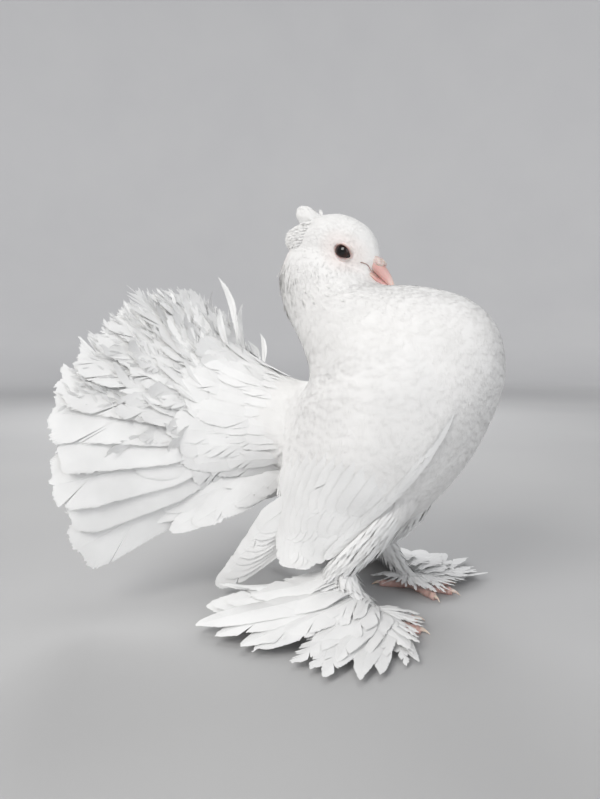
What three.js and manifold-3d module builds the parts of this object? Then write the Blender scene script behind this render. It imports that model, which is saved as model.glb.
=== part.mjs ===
// A white fantail pigeon, life size, standing still with its breast thrown up and its tail fanned.
// Millimetres, +Z up, +X forward, +Y to the bird's left, the floor at z = 0.
import * as THREE from "three";
import { mergeVertices } from "three/addons/utils/BufferGeometryUtils.js";
import Module from "manifold-3d";

const wasm = await Module();
wasm.setup();

// Gap kept between neighbouring pieces
const GAP = 0.32;
const UP = new THREE.Vector3(0, 0, 1);
const RIGHT = -1;
const LEFT = 1;

// Body: each ring runs from a point on the back to one on the belly, with its half width.
const BODY_RINGS = [
  { back: [-85, 130], belly: [-88, 86], half: 18 },
  { back: [-73, 138], belly: [-78, 73], half: 27 },
  { back: [-65, 140], belly: [-52, 57], half: 38 },
  { back: [-61, 141], belly: [-24, 48], half: 45 },
  { back: [-60, 142], belly: [6, 54], half: 49 },
  { back: [-60, 144], belly: [34, 82], half: 51 },
  { back: [-61, 147], belly: [53, 116], half: 51 },
  { back: [-63, 151], belly: [61, 146], half: 49 },
  { back: [-67, 159], belly: [56, 172], half: 44 },
  { back: [-73, 169], belly: [40, 188], half: 37 },
  { back: [-80, 181], belly: [13, 196], half: 31 },
  { back: [-84, 194], belly: [-12, 198], half: 26 },
  { back: [-85, 207], belly: [-22, 205], half: 22 },
  { back: [-81, 219], belly: [-29, 210], half: 18 },
];
const BODY_SIDES = 24;
const TORSO_STEPS = 16;
const NECK_STEPS = 7;
const NECK_STARTS_AT = 8.4;
// The neck starts this much further along the body's rings than the torso ends
const NECK_PARTING = 0.03;
const BELLY_FULLNESS = 0.1;

// Head: measured along an axis that dips towards the bill, from a centre between the ears
const HEAD_CENTRE = { x: -45, z: 221 };
const HEAD_DIP = THREE.MathUtils.degToRad(32);
const HEAD_RINGS = [
  { along: -30, top: -3, bottom: -9, half: 4 },
  { along: -27, top: 4, bottom: -13, half: 8.5 },
  { along: -20, top: 13, bottom: -16, half: 13 },
  { along: -10, top: 20, bottom: -17, half: 15.6 },
  { along: 0, top: 22.6, bottom: -16, half: 16 },
  { along: 9, top: 22.6, bottom: -13, half: 14.4 },
  { along: 16, top: 21, bottom: -10, half: 12 },
  { along: 22, top: 17.4, bottom: -7, half: 9.6 },
  { along: 26.5, top: 13, bottom: -4, half: 7.2 },
  { along: 29, top: 9, bottom: -1.5, half: 4 },
];
const HEAD_SIDES = 20;

const EYE = { along: 10.9, up: 3.3, side: 9.6, radius: 6.2 };
const LID = { side: 14.1, radius: 4.9, thick: 0.9, lengthen: 1.12 };

// Bill: its top and bottom edges along the head's axis
const BILL_UPPER_RINGS = [
  { along: 22, top: 9, bottom: 1.2, half: 4.4 },
  { along: 29, top: 8.4, bottom: 0.4, half: 4 },
  { along: 35, top: 6.4, bottom: -0.7, half: 3.2 },
  { along: 41, top: 3.4, bottom: -1.7, half: 2.2 },
  { along: 45, top: 0.3, bottom: -2.6, half: 1.2 },
  { along: 46.6, top: -1.8, bottom: -3, half: 0.5 },
];
const BILL_LOWER_RINGS = [
  { along: 22, top: 0.8, bottom: -3.2, half: 3.8 },
  { along: 29, top: 0, bottom: -3.6, half: 3.2 },
  { along: 36, top: -1.3, bottom: -4, half: 2.4 },
  { along: 42, top: -2.3, bottom: -4, half: 1.4 },
  { along: 44, top: -2.9, bottom: -3.7, half: 0.6 },
];
const BILL_SIDES = 10;
const CERE = { along: 25.5, side: 2.4, up: 9, length: 6, width: 3.3, height: 4 };
const NOSTRIL = { along: 30, side: 4.3, up: 6.4, length: 3, width: 1.5, height: 0.55 };
const MOUTH = { from: 20, to: 32, up: 1.2, height: 0.6, halfWidth: 20 };

// Legs, given for the left side
const THIGH_RINGS = [
  { at: [10, 18, 84], radius: 5 },
  { at: [6, 22, 76], radius: 13 },
  { at: [-3, 28, 63], radius: 15 },
  { at: [-13, 33, 49], radius: 12 },
  { at: [-22, 36, 37], radius: 8 },
  { at: [-26, 36, 31.5], radius: 6.4 },
];
const SHANK_RINGS = [
  { at: [-25.5, 36, 31], radius: 5.8 },
  { at: [-20, 36, 22], radius: 4.8 },
  { at: [-11, 35.5, 12], radius: 4.4 },
  { at: [-4, 35, 4.5], radius: 4.8 },
];
const THIGH_SIDES = 14;
const SHANK_SIDES = 9;
const TOE_SIDES = 7;
const TOE_KNOT = [-4, 35];
const TOES = [
  { name: "inner", tip: [15, 20], radius: 3 },
  { name: "middle", tip: [22, 34], radius: 3.3 },
  { name: "outer", tip: [15, 50], radius: 3 },
  { name: "hind", tip: [-24, 29], radius: 3 },
];
// A toe's middle line is this share of its radius above the floor, so its sole is a small flat
const SOLE_SHARE = 0.75;
const CLAW_LENGTH = 6.5;

// Tail: feathers lie on a cone round this axis, which points back and a little down.
const TAIL_ROOT = new THREE.Vector3(-70, 0, 108);
const TAIL_AXIS = new THREE.Vector3(-0.986, 0, -0.166).normalize();
const TAIL_UP = new THREE.Vector3(-0.166, 0, 0.986).normalize();
const TAIL_SIDE = new THREE.Vector3(0, 1, 0);
const TAIL_CONE = { sides: 46, top: 51 };
const TAIL_LENGTH = { sides: 152, top: 140 };
// Tail base: how far back each ring lies from the body's first ring, and its share of its size
const TAIL_BASE_CENTRE = [-87, 0, 106];
const TAIL_BASE = [
  { back: GAP, scale: 1 },
  { back: 5, scale: 0.9 },
  { back: 9, scale: 0.66 },
  { back: 12, scale: 0.35 },
];
// Degrees between neighbouring feathers, and between the fan's three pieces
const TAIL_STEP = 9.1;
const SECTOR_GAP = 0.7;
const TAIL_FEATHERS_EACH_SIDE = 13;
const TAIL_CENTRE_EACH_SIDE = 4;
const TAIL_VANE = { from: 50, half: 13.5, shingle: 14, camber: 0.1 };
const TAIL_CORE = { reaches: [20, 44, 62], thicks: [11, 10.6, 9.6] };
const MIDDLE_FEATHER_LIFT = 2.4;
// The two feathers beside the middle one are narrower, so that they stay clear of each other
const BESIDE_MIDDLE_HALF = 9;
// Coverts over the tail's root, on its face towards the back and on the one away from it
const TAIL_COVERTS = [
  { face: 1, to: 98 },
  { face: -1, to: 90 },
];
// Every other covert lies a little over the two beside it
const TAIL_COVERT = { each: 4, step: 25.5, from: 53, half: 15, rise: 2.9, lift: 6.2, over: 1.5, camber: 0.1 };

// Wing: three lines from the shoulder down to the tips, given for the left side
const WING_FRONT = [
  [41, 32, 163], [43, 33, 150], [42, 34, 133], [31, 39, 107],
  [12, 42, 81], [-6, 43, 64], [-22, 43, 47], [-38, 45, 32],
];
const WING_MIDDLE = [
  [0, 46, 170], [-6, 54, 152], [-12, 56, 130], [-16, 56, 106],
  [-24, 54, 86], [-36, 50, 66], [-45, 48, 48], [-48, 47, 29],
];
const WING_REAR = [
  [-50, 22, 154], [-57, 21, 138], [-62, 23, 120], [-66, 30, 99],
  [-65, 39, 82], [-62, 44, 66], [-60, 47, 48], [-57, 48, 26],
];
const WING_SHELL = { from: 0.02, to: 0.7, rows: 7, columns: 6, thick: 4.6, edgeThinning: 0.45, least: 1 };
const WING_SHINGLE = 12;
// Each feather of a tier runs from one place on the wing's surface to another: [down, across]
const GREATER_COVERTS = {
  root: [[0.54, -0.66], [0.58, 0.7]],
  tips: [[0.72, -0.72], [0.76, -0.38], [0.8, -0.02], [0.82, 0.34], [0.8, 0.7]],
  half: 10.5, rise: 1, lift: 4.6,
};
const SECONDARIES = {
  root: [[0.6, -0.68], [0.6, 0.72]],
  tips: [[0.77, -0.8], [0.85, -0.55], [0.92, -0.2], [0.97, 0.2], [0.94, 0.62], [0.82, 0.92]],
  half: 9.5, rise: 0, lift: 0.4,
};
// Primaries: from the wing's hand to staggered tips, each one nearer the body than the last
const HAND = { at: [-40, 42, 72], size: [9, 6, 11] };
const PRIMARIES = {
  count: 6, root: [-38, 66], rootRise: 1.6, longest: [-112, 46, 7], shortest: [-74, 41, 50],
  crowding: 0.8, bow: [-5, -5], half: 7.5, step: 1.35,
};

// Crest and nape, in the head's frame: along, up
const CREST = {
  each: 2, root: [-21, 7], tip: [-31, 18.2], bow: [-3, 2],
  rootSpread: 3.4, spread: 4.7, fall: 2, half: 4.4, step: 1.9,
};
const NAPE = {
  each: 2, centre: [-15, 4], radius: 11, from: 34, step: 34,
  out: 8.2, rise: 5.5, bow: 1.5, lean: 1.4, half: 4.4,
};

// Muff: feathers that fan from the foot's outer side, from the front round to the rear
const MUFF = { count: 11, centre: [-5, 36], shingle: 10, camber: 0.06, ragged: 4 };
const MUFF_FRONT = { degrees: 46, root: [6, 39, 5], tipHeight: 1.6, bow: 1.5, half: 6 };
const MUFF_REAR = { degrees: 147, root: [-17, 36, 17], tipHeight: 5, bow: 5, half: 12 };
const MUFF_LENGTHS = [56, 62, 72, 76, 72, 78, 84, 100];
const HOCK = { root: [-22, 38, 24], bow: 3 };
const HOCK_FEATHERS = [
  { tip: [-92, 66, 17], half: 4 },
  { tip: [-82, 60, 24], half: 5 },
];
const VANE_THICK = 0.8;
const FEATHER_RAGGED = 4;

const at = (x, y, z) => new THREE.Vector3(x, y, z);
const mix = (a, b, f) => a + (b - a) * f;
const mixAll = (a, b, f) => a.map((v, i) => mix(v, b[i], f));

// A point of the head's own frame: along the bill's line, out to the left, up from it
function headPoint(along, side, up) {
  const cos = Math.cos(HEAD_DIP);
  const sin = Math.sin(HEAD_DIP);
  return new THREE.Vector3(
    HEAD_CENTRE.x + along * cos + up * sin,
    side,
    HEAD_CENTRE.z - along * sin + up * cos,
  );
}

// A closed skin over rings with the same number of points, capped at both ends
function loft(rings) {
  const sides = rings[0].length;
  const points = rings.flat();
  const faces = [];
  for (let r = 0; r + 1 < rings.length; r++) {
    for (let s = 0; s < sides; s++) {
      const a = r * sides + s;
      const b = r * sides + ((s + 1) % sides);
      faces.push(a, b, a + sides, b, b + sides, a + sides);
    }
  }
  const cap = (ring, flip) => {
    const middle = points.length;
    const mean = new THREE.Vector3();
    rings[ring].forEach((p) => mean.addScaledVector(p, 1 / sides));
    points.push(mean);
    for (let s = 0; s < sides; s++) {
      const a = ring * sides + s;
      const b = ring * sides + ((s + 1) % sides);
      faces.push(...(flip ? [b, a, middle] : [a, b, middle]));
    }
  };
  cap(0, true);
  cap(rings.length - 1, false);
  const geometry = new THREE.BufferGeometry().setFromPoints(points);
  geometry.setIndex(faces);
  return geometry;
}

// A thin plate over a grid of rows, with its two faces split into triangles alike
function plate(rows) {
  const columns = rows[0].length;
  const upper = rows.flat().map((cell) => cell.point.clone().addScaledVector(cell.normal, cell.thick / 2));
  const lower = rows.flat().map((cell) => cell.point.clone().addScaledVector(cell.normal, -cell.thick / 2));
  const offset = upper.length;
  const faces = [];
  const quad = (a, b, c, d) => faces.push(a, b, d, b, c, d);
  for (let r = 0; r + 1 < rows.length; r++) {
    for (let c = 0; c + 1 < columns; c++) {
      const a = r * columns + c;
      quad(a, a + 1, a + columns + 1, a + columns);
      const b = a + offset;
      faces.push(b, b + columns, b + 1, b + 1, b + columns, b + columns + 1);
    }
    const first = r * columns;
    const end = first + columns - 1;
    quad(first + columns, first + columns + offset, first + offset, first);
    quad(end, end + offset, end + columns + offset, end + columns);
  }
  for (let c = 0; c + 1 < columns; c++) {
    const far = (rows.length - 1) * columns + c;
    quad(c, c + offset, c + 1 + offset, c + 1);
    quad(far + 1, far + 1 + offset, far + offset, far);
  }
  const geometry = new THREE.BufferGeometry().setFromPoints([...upper, ...lower]);
  geometry.setIndex(faces);
  return geometry;
}

// A feather's vane: a thin cambered blade from its root to its tip, facing along a normal
const LONG_VANE = [
  { at: 0, width: 0.6, thick: 1 },
  { at: 0.3, width: 0.94, thick: 1 },
  { at: 0.65, width: 1, thick: 0.9 },
  { at: 0.9, width: 0.74, thick: 0.8 },
  { at: 1, width: 0.24, thick: 0.6 },
];
const SHORT_VANE = [
  { at: 0, width: 0.5, thick: 1 },
  { at: 0.45, width: 1, thick: 1 },
  { at: 0.86, width: 0.8, thick: 0.8 },
  { at: 1, width: 0.28, thick: 0.6 },
];

function vane({ root, tip, bow, normal, half, camber = 0.1, rows = SHORT_VANE }) {
  const bend = root.clone().add(tip).multiplyScalar(0.5).add(bow);
  const line = new THREE.QuadraticBezierCurve3(root, bend, tip);
  const grid = rows.map((r) => {
    const along = line.getTangent(r.at);
    const side = new THREE.Vector3().crossVectors(normal, along).normalize();
    const out = new THREE.Vector3().crossVectors(along, side).normalize();
    return [-1, 0, 1].map((c) => ({
      point: line
        .getPoint(r.at)
        .addScaledVector(side, c * half * r.width)
        .addScaledVector(out, -c * c * camber * half * r.width),
      normal: out,
      thick: VANE_THICK * r.thick,
    }));
  });
  return solid(plate(grid));
}

// Seeded draws, so that the feathers vary the same way each time
let seed = 20251;
function draw(from, to) {
  seed = (seed * 1103515245 + 12345) % 2147483648;
  return from + ((to - from) * seed) / 2147483648;
}

// Turns a geometry into a solid; one whose faces point inwards is turned round first.
function solid(geometry) {
  const bare = new THREE.BufferGeometry();
  bare.setAttribute("position", geometry.getAttribute("position"));
  bare.setIndex(geometry.getIndex());
  const merged = mergeVertices(bare, 1e-4);
  const make = (triVerts) =>
    new wasm.Manifold(
      new wasm.Mesh({
        numProp: 3,
        vertProperties: merged.attributes.position.array,
        triVerts,
      }),
    );
  const made = make(new Uint32Array(merged.index.array));
  if (made.volume() > 0) return made;
  return make(new Uint32Array(merged.index.array).reverse());
}

// The largest closed body of a solid
function largest(shape) {
  return shape.decompose().sort((a, b) => b.volume() - a.volume())[0];
}

function geometryOf(shape) {
  const mesh = shape.getMesh();
  const geometry = new THREE.BufferGeometry();
  geometry.setAttribute("position", new THREE.BufferAttribute(mesh.vertProperties, 3));
  geometry.setIndex(new THREE.BufferAttribute(mesh.triVerts, 1));
  geometry.computeVertexNormals();
  return geometry;
}

function union(shapes) {
  return shapes.reduce((sum, shape) => sum.add(shape));
}

// An upright ring in the bird's middle plane, from its top point to its bottom point
function ovalRing(top, bottom, half, sides, grow = 0, fullness = 0) {
  const centre = top.clone().add(bottom).multiplyScalar(0.5);
  const axis = top.clone().sub(bottom).multiplyScalar(0.5);
  axis.setLength(axis.length() + grow);
  const ring = [];
  for (let s = 0; s < sides; s++) {
    const angle = (2 * Math.PI * s) / sides;
    const across = Math.sin(angle);
    const along = Math.cos(angle) - fullness * across * across;
    const point = centre.clone().addScaledVector(axis, along);
    point.y += (half + grow) * across;
    ring.push(point);
  }
  return ring;
}

const bodyBack = new THREE.CatmullRomCurve3(
  BODY_RINGS.map((r) => new THREE.Vector3(r.back[0], r.half, r.back[1])),
);
const bodyBelly = new THREE.CatmullRomCurve3(
  BODY_RINGS.map((r) => new THREE.Vector3(r.belly[0], r.half, r.belly[1])),
);

function bodyRing(station, grow = 0) {
  const t = station / (BODY_RINGS.length - 1);
  const back = bodyBack.getPoint(t);
  const belly = bodyBelly.getPoint(t);
  const half = back.y;
  back.y = 0;
  belly.y = 0;
  return ovalRing(back, belly, half, BODY_SIDES, grow, BELLY_FULLNESS);
}

function bodyPiece(from, to, steps, grow = 0) {
  const rings = [];
  for (let i = 0; i <= steps; i++) rings.push(bodyRing(from + ((to - from) * i) / steps, grow));
  return solid(loft(rings));
}

// Rings given in the head's frame, grown outwards by a margin
function headLoft(list, sides, grow = 0) {
  const rings = list.map((r, i) => {
    const end = i === 0 ? -grow : i === list.length - 1 ? grow : 0;
    const top = headPoint(r.along + end, 0, r.top);
    const bottom = headPoint(r.along + end, 0, r.bottom);
    return ovalRing(top, bottom, r.half, sides, grow);
  });
  return solid(loft(rings));
}

function headBlob(size, grow = 0) {
  const geometry = new THREE.SphereGeometry(1, 10, 6);
  geometry.scale(size.length + grow, size.width + grow, size.height + grow);
  geometry.rotateY(HEAD_DIP);
  const centre = headPoint(size.along, size.side, size.up);
  geometry.translate(centre.x, centre.y, centre.z);
  return solid(geometry);
}

function eyeBall(side, grow = 0) {
  const geometry = new THREE.SphereGeometry(EYE.radius + grow, 12, 8);
  const centre = headPoint(EYE.along, side * EYE.side, EYE.up);
  geometry.translate(centre.x, centre.y, centre.z);
  return solid(geometry);
}

function eyeLid(side) {
  const geometry = new THREE.TorusGeometry(LID.radius, LID.thick, 4, 16);
  geometry.rotateX(Math.PI / 2);
  geometry.scale(LID.lengthen, 1, 1);
  geometry.rotateY(HEAD_DIP);
  const centre = headPoint(EYE.along, side * LID.side, EYE.up);
  geometry.translate(centre.x, centre.y, centre.z);
  return solid(geometry);
}

function box(min, max) {
  const size = max.map((v, i) => v - min[i]);
  const geometry = new THREE.BoxGeometry(...size);
  geometry.translate(...min.map((v, i) => v + size[i] / 2));
  return geometry;
}

function mouthSlit() {
  const { from, to, up, height, halfWidth } = MOUTH;
  const geometry = box([from, -halfWidth, up - height / 2], [to, halfWidth, up + height / 2]);
  geometry.rotateY(HEAD_DIP);
  geometry.translate(HEAD_CENTRE.x, 0, HEAD_CENTRE.z);
  return solid(geometry);
}

// A limb of round rings along a line of centres
function limb(rings, side, sides, grow = 0) {
  const centres = rings.map((r) => new THREE.Vector3(r.at[0], r.at[1] * side, r.at[2]));
  return solid(
    loft(
      rings.map((r, i) => {
        const before = centres[Math.max(i - 1, 0)];
        const after = centres[Math.min(i + 1, centres.length - 1)];
        const along = after.clone().sub(before).normalize();
        const turn = new THREE.Quaternion().setFromUnitVectors(new THREE.Vector3(0, 0, 1), along);
        const end = i === 0 ? -grow : i === rings.length - 1 ? grow : 0;
        const ring = [];
        for (let s = 0; s < sides; s++) {
          const angle = (2 * Math.PI * s) / sides;
          const reach = r.radius + grow;
          const point = new THREE.Vector3(reach * Math.cos(angle), reach * Math.sin(angle), end);
          ring.push(point.applyQuaternion(turn).add(centres[i]));
        }
        return ring;
      }),
    ),
  );
}

function toe(spec, side) {
  const [kx, ky] = TOE_KNOT;
  const [tx, ty] = spec.tip;
  const reach = Math.hypot(tx - kx, ty - ky);
  const beyond = 1 + CLAW_LENGTH / reach;
  const ring = (f, radius, z = radius * SOLE_SHARE) => ({ at: [mix(kx, tx, f), mix(ky, ty, f), z], radius });
  const rings = [
    ring(0, spec.radius * 1.25),
    ring(0.5, spec.radius),
    ring(1, spec.radius * 0.75),
    ring((1 + beyond) / 2, 1.1, 2.2),
    ring(beyond, 0.4, 0.9),
  ];
  return limb(rings, side, TOE_SIDES);
}

// Everything below the floor is cut away, which leaves the small flats of the soles
const belowFloor = solid(box([-300, -300, -60], [300, 300, 0]));

// How near an angle is to the top of the fan, from 0 at its sides to 1
function topness(degrees) {
  return Math.max(0, Math.cos(THREE.MathUtils.degToRad(degrees))) ** 2;
}

// Direction from the tail's root along its cone, at an angle from the middle feather
function tailAlong(degrees) {
  const turn = THREE.MathUtils.degToRad(degrees);
  const cone = THREE.MathUtils.degToRad(mix(TAIL_CONE.sides, TAIL_CONE.top, topness(degrees)));
  const out = TAIL_UP.clone().multiplyScalar(Math.cos(turn)).addScaledVector(TAIL_SIDE, Math.sin(turn));
  return out.multiplyScalar(Math.sin(cone)).addScaledVector(TAIL_AXIS, Math.cos(cone));
}

// Directions along the tail's cone, round it and out of it
function tailFrame(degrees) {
  const along = tailAlong(degrees);
  const around = tailAlong(degrees + 1).sub(tailAlong(degrees - 1)).normalize();
  const normal = new THREE.Vector3().crossVectors(around, along);
  return { along, around, normal };
}

// A piece of the cone's shell between two angles and two distances from the root
function tailShell(fromDegrees, toDegrees, reaches, thicks) {
  const columns = Math.ceil(Math.abs(toDegrees - fromDegrees) / 9);
  const rows = reaches.map((reach, r) => {
    const row = [];
    for (let c = 0; c <= columns; c++) {
      const { along, normal } = tailFrame(fromDegrees + ((toDegrees - fromDegrees) * c) / columns);
      row.push({ point: TAIL_ROOT.clone().addScaledVector(along, reach), normal, thick: thicks[r] });
    }
    return row;
  });
  return solid(plate(rows));
}

const wingLines = [WING_FRONT, WING_MIDDLE, WING_REAR].map(
  (line) => new THREE.CatmullRomCurve3(line.map((p) => new THREE.Vector3(...p))),
);

// The wing's surface: down from the shoulder 0 to 1, and across from its front -1 to its rear 1
function wingPoint(side, down, across) {
  const [front, middle, rear] = wingLines.map((line) => line.getPoint(down));
  const point = front.multiplyScalar((across * (across - 1)) / 2);
  point.addScaledVector(middle, 1 - across * across);
  point.addScaledVector(rear, (across * (across + 1)) / 2);
  point.y *= side;
  return point;
}

function wingNormal(side, down, across) {
  const step = 0.01;
  const u = wingPoint(side, down + step, across).sub(wingPoint(side, down - step, across));
  const v = wingPoint(side, down, across + step).sub(wingPoint(side, down, across - step));
  const normal = u.cross(v).normalize();
  if (normal.y * side < 0) normal.negate();
  return normal;
}

function wingShell(side) {
  const { from, to, rows, columns, thick, edgeThinning, least } = WING_SHELL;
  const grid = [];
  for (let r = 0; r <= rows; r++) {
    const down = mix(from, to, r / rows);
    const row = [];
    for (let c = 0; c <= columns; c++) {
      const across = mix(-1, 1, c / columns);
      const thin = Math.min(1, 4 * down) * (1 - edgeThinning * across * across);
      row.push({
        point: wingPoint(side, down, across),
        normal: wingNormal(side, down, across),
        thick: Math.max(least, thick * thin),
      });
    }
    grid.push(row);
  }
  return solid(plate(grid));
}

// One feather over the wing's surface, tilted so that its rear edge lies under the next one
function wingFeather(side, root, tip, tier) {
  const place = ([down, across], lift) =>
    wingPoint(side, down, across).addScaledVector(wingNormal(side, down, across), lift);
  const start = place(root, tier.rise);
  const end = place(tip, tier.lift);
  const middle = place(mixAll(root, tip, 0.5), mix(tier.rise, tier.lift, 0.5));
  const normal = wingNormal(side, ...mixAll(root, tip, 0.6));
  const axis = end.clone().sub(start).normalize();
  normal.applyAxisAngle(axis, THREE.MathUtils.degToRad(WING_SHINGLE) * side);
  const bow = middle.sub(start.clone().add(end).multiplyScalar(0.5)).multiplyScalar(2);
  return vane({ root: start, tip: end, bow, normal, half: tier.half, camber: 0.08 });
}

function wingTier(side, tier) {
  const last = tier.tips.length - 1;
  return union(
    tier.tips.map((tip, k) => wingFeather(side, mixAll(tier.root[0], tier.root[1], k / last), tip, tier)),
  );
}

function hand(side) {
  const [x, y, z] = HAND.at;
  const geometry = new THREE.SphereGeometry(1, 8, 6);
  geometry.scale(...HAND.size);
  geometry.translate(x, y * side, z);
  return solid(geometry);
}

function primaries(side) {
  const { count, root, rootRise, longest, shortest, crowding, bow, half, step } = PRIMARIES;
  const feathers = [hand(side)];
  for (let k = 0; k < count; k++) {
    const [x, , z] = mixAll(longest, shortest, (k / (count - 1)) ** crowding);
    const y = longest[1] - k * step;
    feathers.push(
      vane({
        root: at(root[0], y * side, root[1] + rootRise * k),
        tip: at(x, y * side, z),
        bow: at(bow[0], 0, bow[1] + k),
        normal: at(0, side, 0),
        half,
        camber: 0,
      }),
    );
  }
  return union(feathers);
}

// A tail feather, or a covert over or under the tail's root
function tailFeather(degrees, { from, to, half, shingle = 0, rise, lift, camber, rows }) {
  const { along, normal, around } = tailFrame(degrees);
  const tilt = THREE.MathUtils.degToRad(shingle) * Math.sign(degrees);
  const facing = normal.clone().multiplyScalar(Math.cos(tilt)).addScaledVector(around, -Math.sin(tilt));
  return vane({
    root: TAIL_ROOT.clone().addScaledVector(along, from).addScaledVector(normal, rise),
    tip: TAIL_ROOT.clone().addScaledVector(along, to).addScaledVector(normal, lift),
    bow: at(0, 0, 0),
    normal: facing,
    half,
    camber,
    rows,
  });
}

function tailReach(degrees) {
  return mix(TAIL_LENGTH.sides, TAIL_LENGTH.top, topness(degrees));
}

// The tail feathers and coverts whose roots lie between two angles
function tailFeathers(from, to) {
  const feathers = [];
  const inside = (degrees) => degrees > from && degrees < to;
  for (let k = -TAIL_FEATHERS_EACH_SIDE; k <= TAIL_FEATHERS_EACH_SIDE; k++) {
    const degrees = k * TAIL_STEP;
    const reach = tailReach(degrees) + draw(-FEATHER_RAGGED, FEATHER_RAGGED);
    const lift = k === 0 ? MIDDLE_FEATHER_LIFT : 0;
    const half = Math.abs(k) === 1 ? BESIDE_MIDDLE_HALF : TAIL_VANE.half;
    const spec = { ...TAIL_VANE, to: reach, half, rise: lift, lift, rows: LONG_VANE };
    if (inside(degrees)) feathers.push(tailFeather(degrees, spec));
  }
  for (const { face, to: length } of TAIL_COVERTS) {
    for (let k = -TAIL_COVERT.each; k <= TAIL_COVERT.each; k++) {
      const degrees = k * TAIL_COVERT.step;
      const over = k % 2 === 0 ? TAIL_COVERT.over : 0;
      const rise = face * (TAIL_COVERT.rise + over);
      const lift = face * (TAIL_COVERT.lift + over);
      const to = length + draw(-FEATHER_RAGGED, FEATHER_RAGGED);
      const spec = { ...TAIL_COVERT, to, rise, lift };
      if (inside(degrees)) feathers.push(tailFeather(degrees, spec));
    }
  }
  return union(feathers);
}

// A direction given in the head's frame
function headDirection(along, side, up) {
  return headPoint(along, side, up).sub(headPoint(0, 0, 0));
}

// Crest: a small upright fan behind the crown
function crest() {
  const { each, root, tip, bow, rootSpread, spread, fall, half, step } = CREST;
  const feathers = [];
  for (let j = -each; j <= each; j++) {
    const behind = -step * Math.abs(j);
    feathers.push(
      vane({
        root: headPoint(root[0] + behind, j * rootSpread, root[1]),
        tip: headPoint(tip[0] + behind, j * spread, tip[1] - fall * Math.abs(j)),
        bow: headDirection(bow[0], 0, bow[1]),
        normal: headDirection(1, 0, 0),
        half,
      }),
    );
  }
  return union(feathers);
}

// Shorter feathers that stand out round the nape
function nape() {
  const { each, centre, radius, from, step, out, rise, bow, lean, half } = NAPE;
  const feathers = [];
  for (const side of [RIGHT, LEFT]) {
    for (let j = 0; j < each; j++) {
      const turn = THREE.MathUtils.degToRad((from + step * j) * side);
      const away = headDirection(-Math.cos(turn), Math.sin(turn), 0);
      const root = headPoint(centre[0], 0, centre[1]).addScaledVector(away, radius);
      feathers.push(
        vane({
          root,
          tip: root.clone().addScaledVector(away, out).addScaledVector(UP, rise),
          bow: away.clone().multiplyScalar(bow),
          normal: headDirection(Math.cos(turn), -Math.sin(turn), lean),
          half,
        }),
      );
    }
  }
  return union(feathers);
}

// The length of the muff's feathers, from the front of the foot 0 to the rear 1
function muffLength(f) {
  const place = f * (MUFF_LENGTHS.length - 1);
  const lower = Math.min(Math.floor(place), MUFF_LENGTHS.length - 2);
  return mix(MUFF_LENGTHS[lower], MUFF_LENGTHS[lower + 1], place - lower);
}

function muffFeather(side, f) {
  const blend = (key) => mix(MUFF_FRONT[key], MUFF_REAR[key], f);
  const turn = THREE.MathUtils.degToRad(blend("degrees"));
  const length = muffLength(f) + draw(-MUFF.ragged, MUFF.ragged);
  const [rx, ry, rz] = mixAll(MUFF_FRONT.root, MUFF_REAR.root, f);
  const root = at(rx, side * ry, rz);
  const tip = at(
    MUFF.centre[0] + length * Math.cos(turn),
    side * (MUFF.centre[1] + length * Math.sin(turn)),
    blend("tipHeight"),
  );
  const axis = tip.clone().sub(root).normalize();
  const normal = UP.clone().applyAxisAngle(axis, -side * THREE.MathUtils.degToRad(MUFF.shingle));
  return vane({ root, tip, bow: at(0, 0, blend("bow")), normal, half: blend("half"), camber: MUFF.camber });
}

function hockFeather(side, { tip, half }) {
  const place = ([x, y, z]) => at(x, side * y, z);
  return vane({ root: place(HOCK.root), tip: place(tip), bow: at(0, 0, HOCK.bow), normal: UP, half });
}

// Muff: long feathers from the foot's outer side, and two longer ones from the hock
function muff(side) {
  const feathers = [];
  for (let k = 0; k < MUFF.count; k++) feathers.push(muffFeather(side, k / (MUFF.count - 1)));
  for (const spec of HOCK_FEATHERS) feathers.push(hockFeather(side, spec));
  return union(feathers);
}

const bird = new THREE.Group();
bird.name = "fantail_pigeon";

function add(name, shape, material) {
  const mesh = new THREE.Mesh(geometryOf(largest(shape)), material);
  mesh.name = name;
  bird.add(mesh);
}

const plumage = new THREE.MeshStandardMaterial({ color: 0xf2f1ec, roughness: 0.85 });
const horn = new THREE.MeshStandardMaterial({ color: 0xdba99a, roughness: 0.45 });
const wax = new THREE.MeshStandardMaterial({ color: 0xe6d9cf, roughness: 0.7 });
const eyeDark = new THREE.MeshStandardMaterial({ color: 0x120a08, roughness: 0.08 });

const SIDES = [[RIGHT, "right"], [LEFT, "left"]];
const lastRing = BODY_RINGS.length - 1;
const thigh = (side, grow = 0) => limb(THIGH_RINGS, side, THIGH_SIDES, grow);

// Torso and neck, parted by a gap across the body
const torso = (grow = 0) => bodyPiece(0, NECK_STARTS_AT, TORSO_STEPS, grow);
const neck = (grow = 0) => bodyPiece(NECK_STARTS_AT + NECK_PARTING, lastRing, NECK_STEPS, grow);
const head = (grow = 0) => headLoft(HEAD_RINGS, HEAD_SIDES, grow);
const billTop = (grow = 0) => headLoft(BILL_UPPER_RINGS, BILL_SIDES, grow);
const grownTorso = torso(GAP);
const grownNeck = neck(GAP);
const grownHead = head(GAP);
const grownBill = billTop(GAP);
const grownThighs = union([thigh(RIGHT, GAP), thigh(LEFT, GAP)]);
add("torso", torso().subtract(grownThighs), plumage);
add("neck", neck().subtract(grownHead), plumage);

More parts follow.
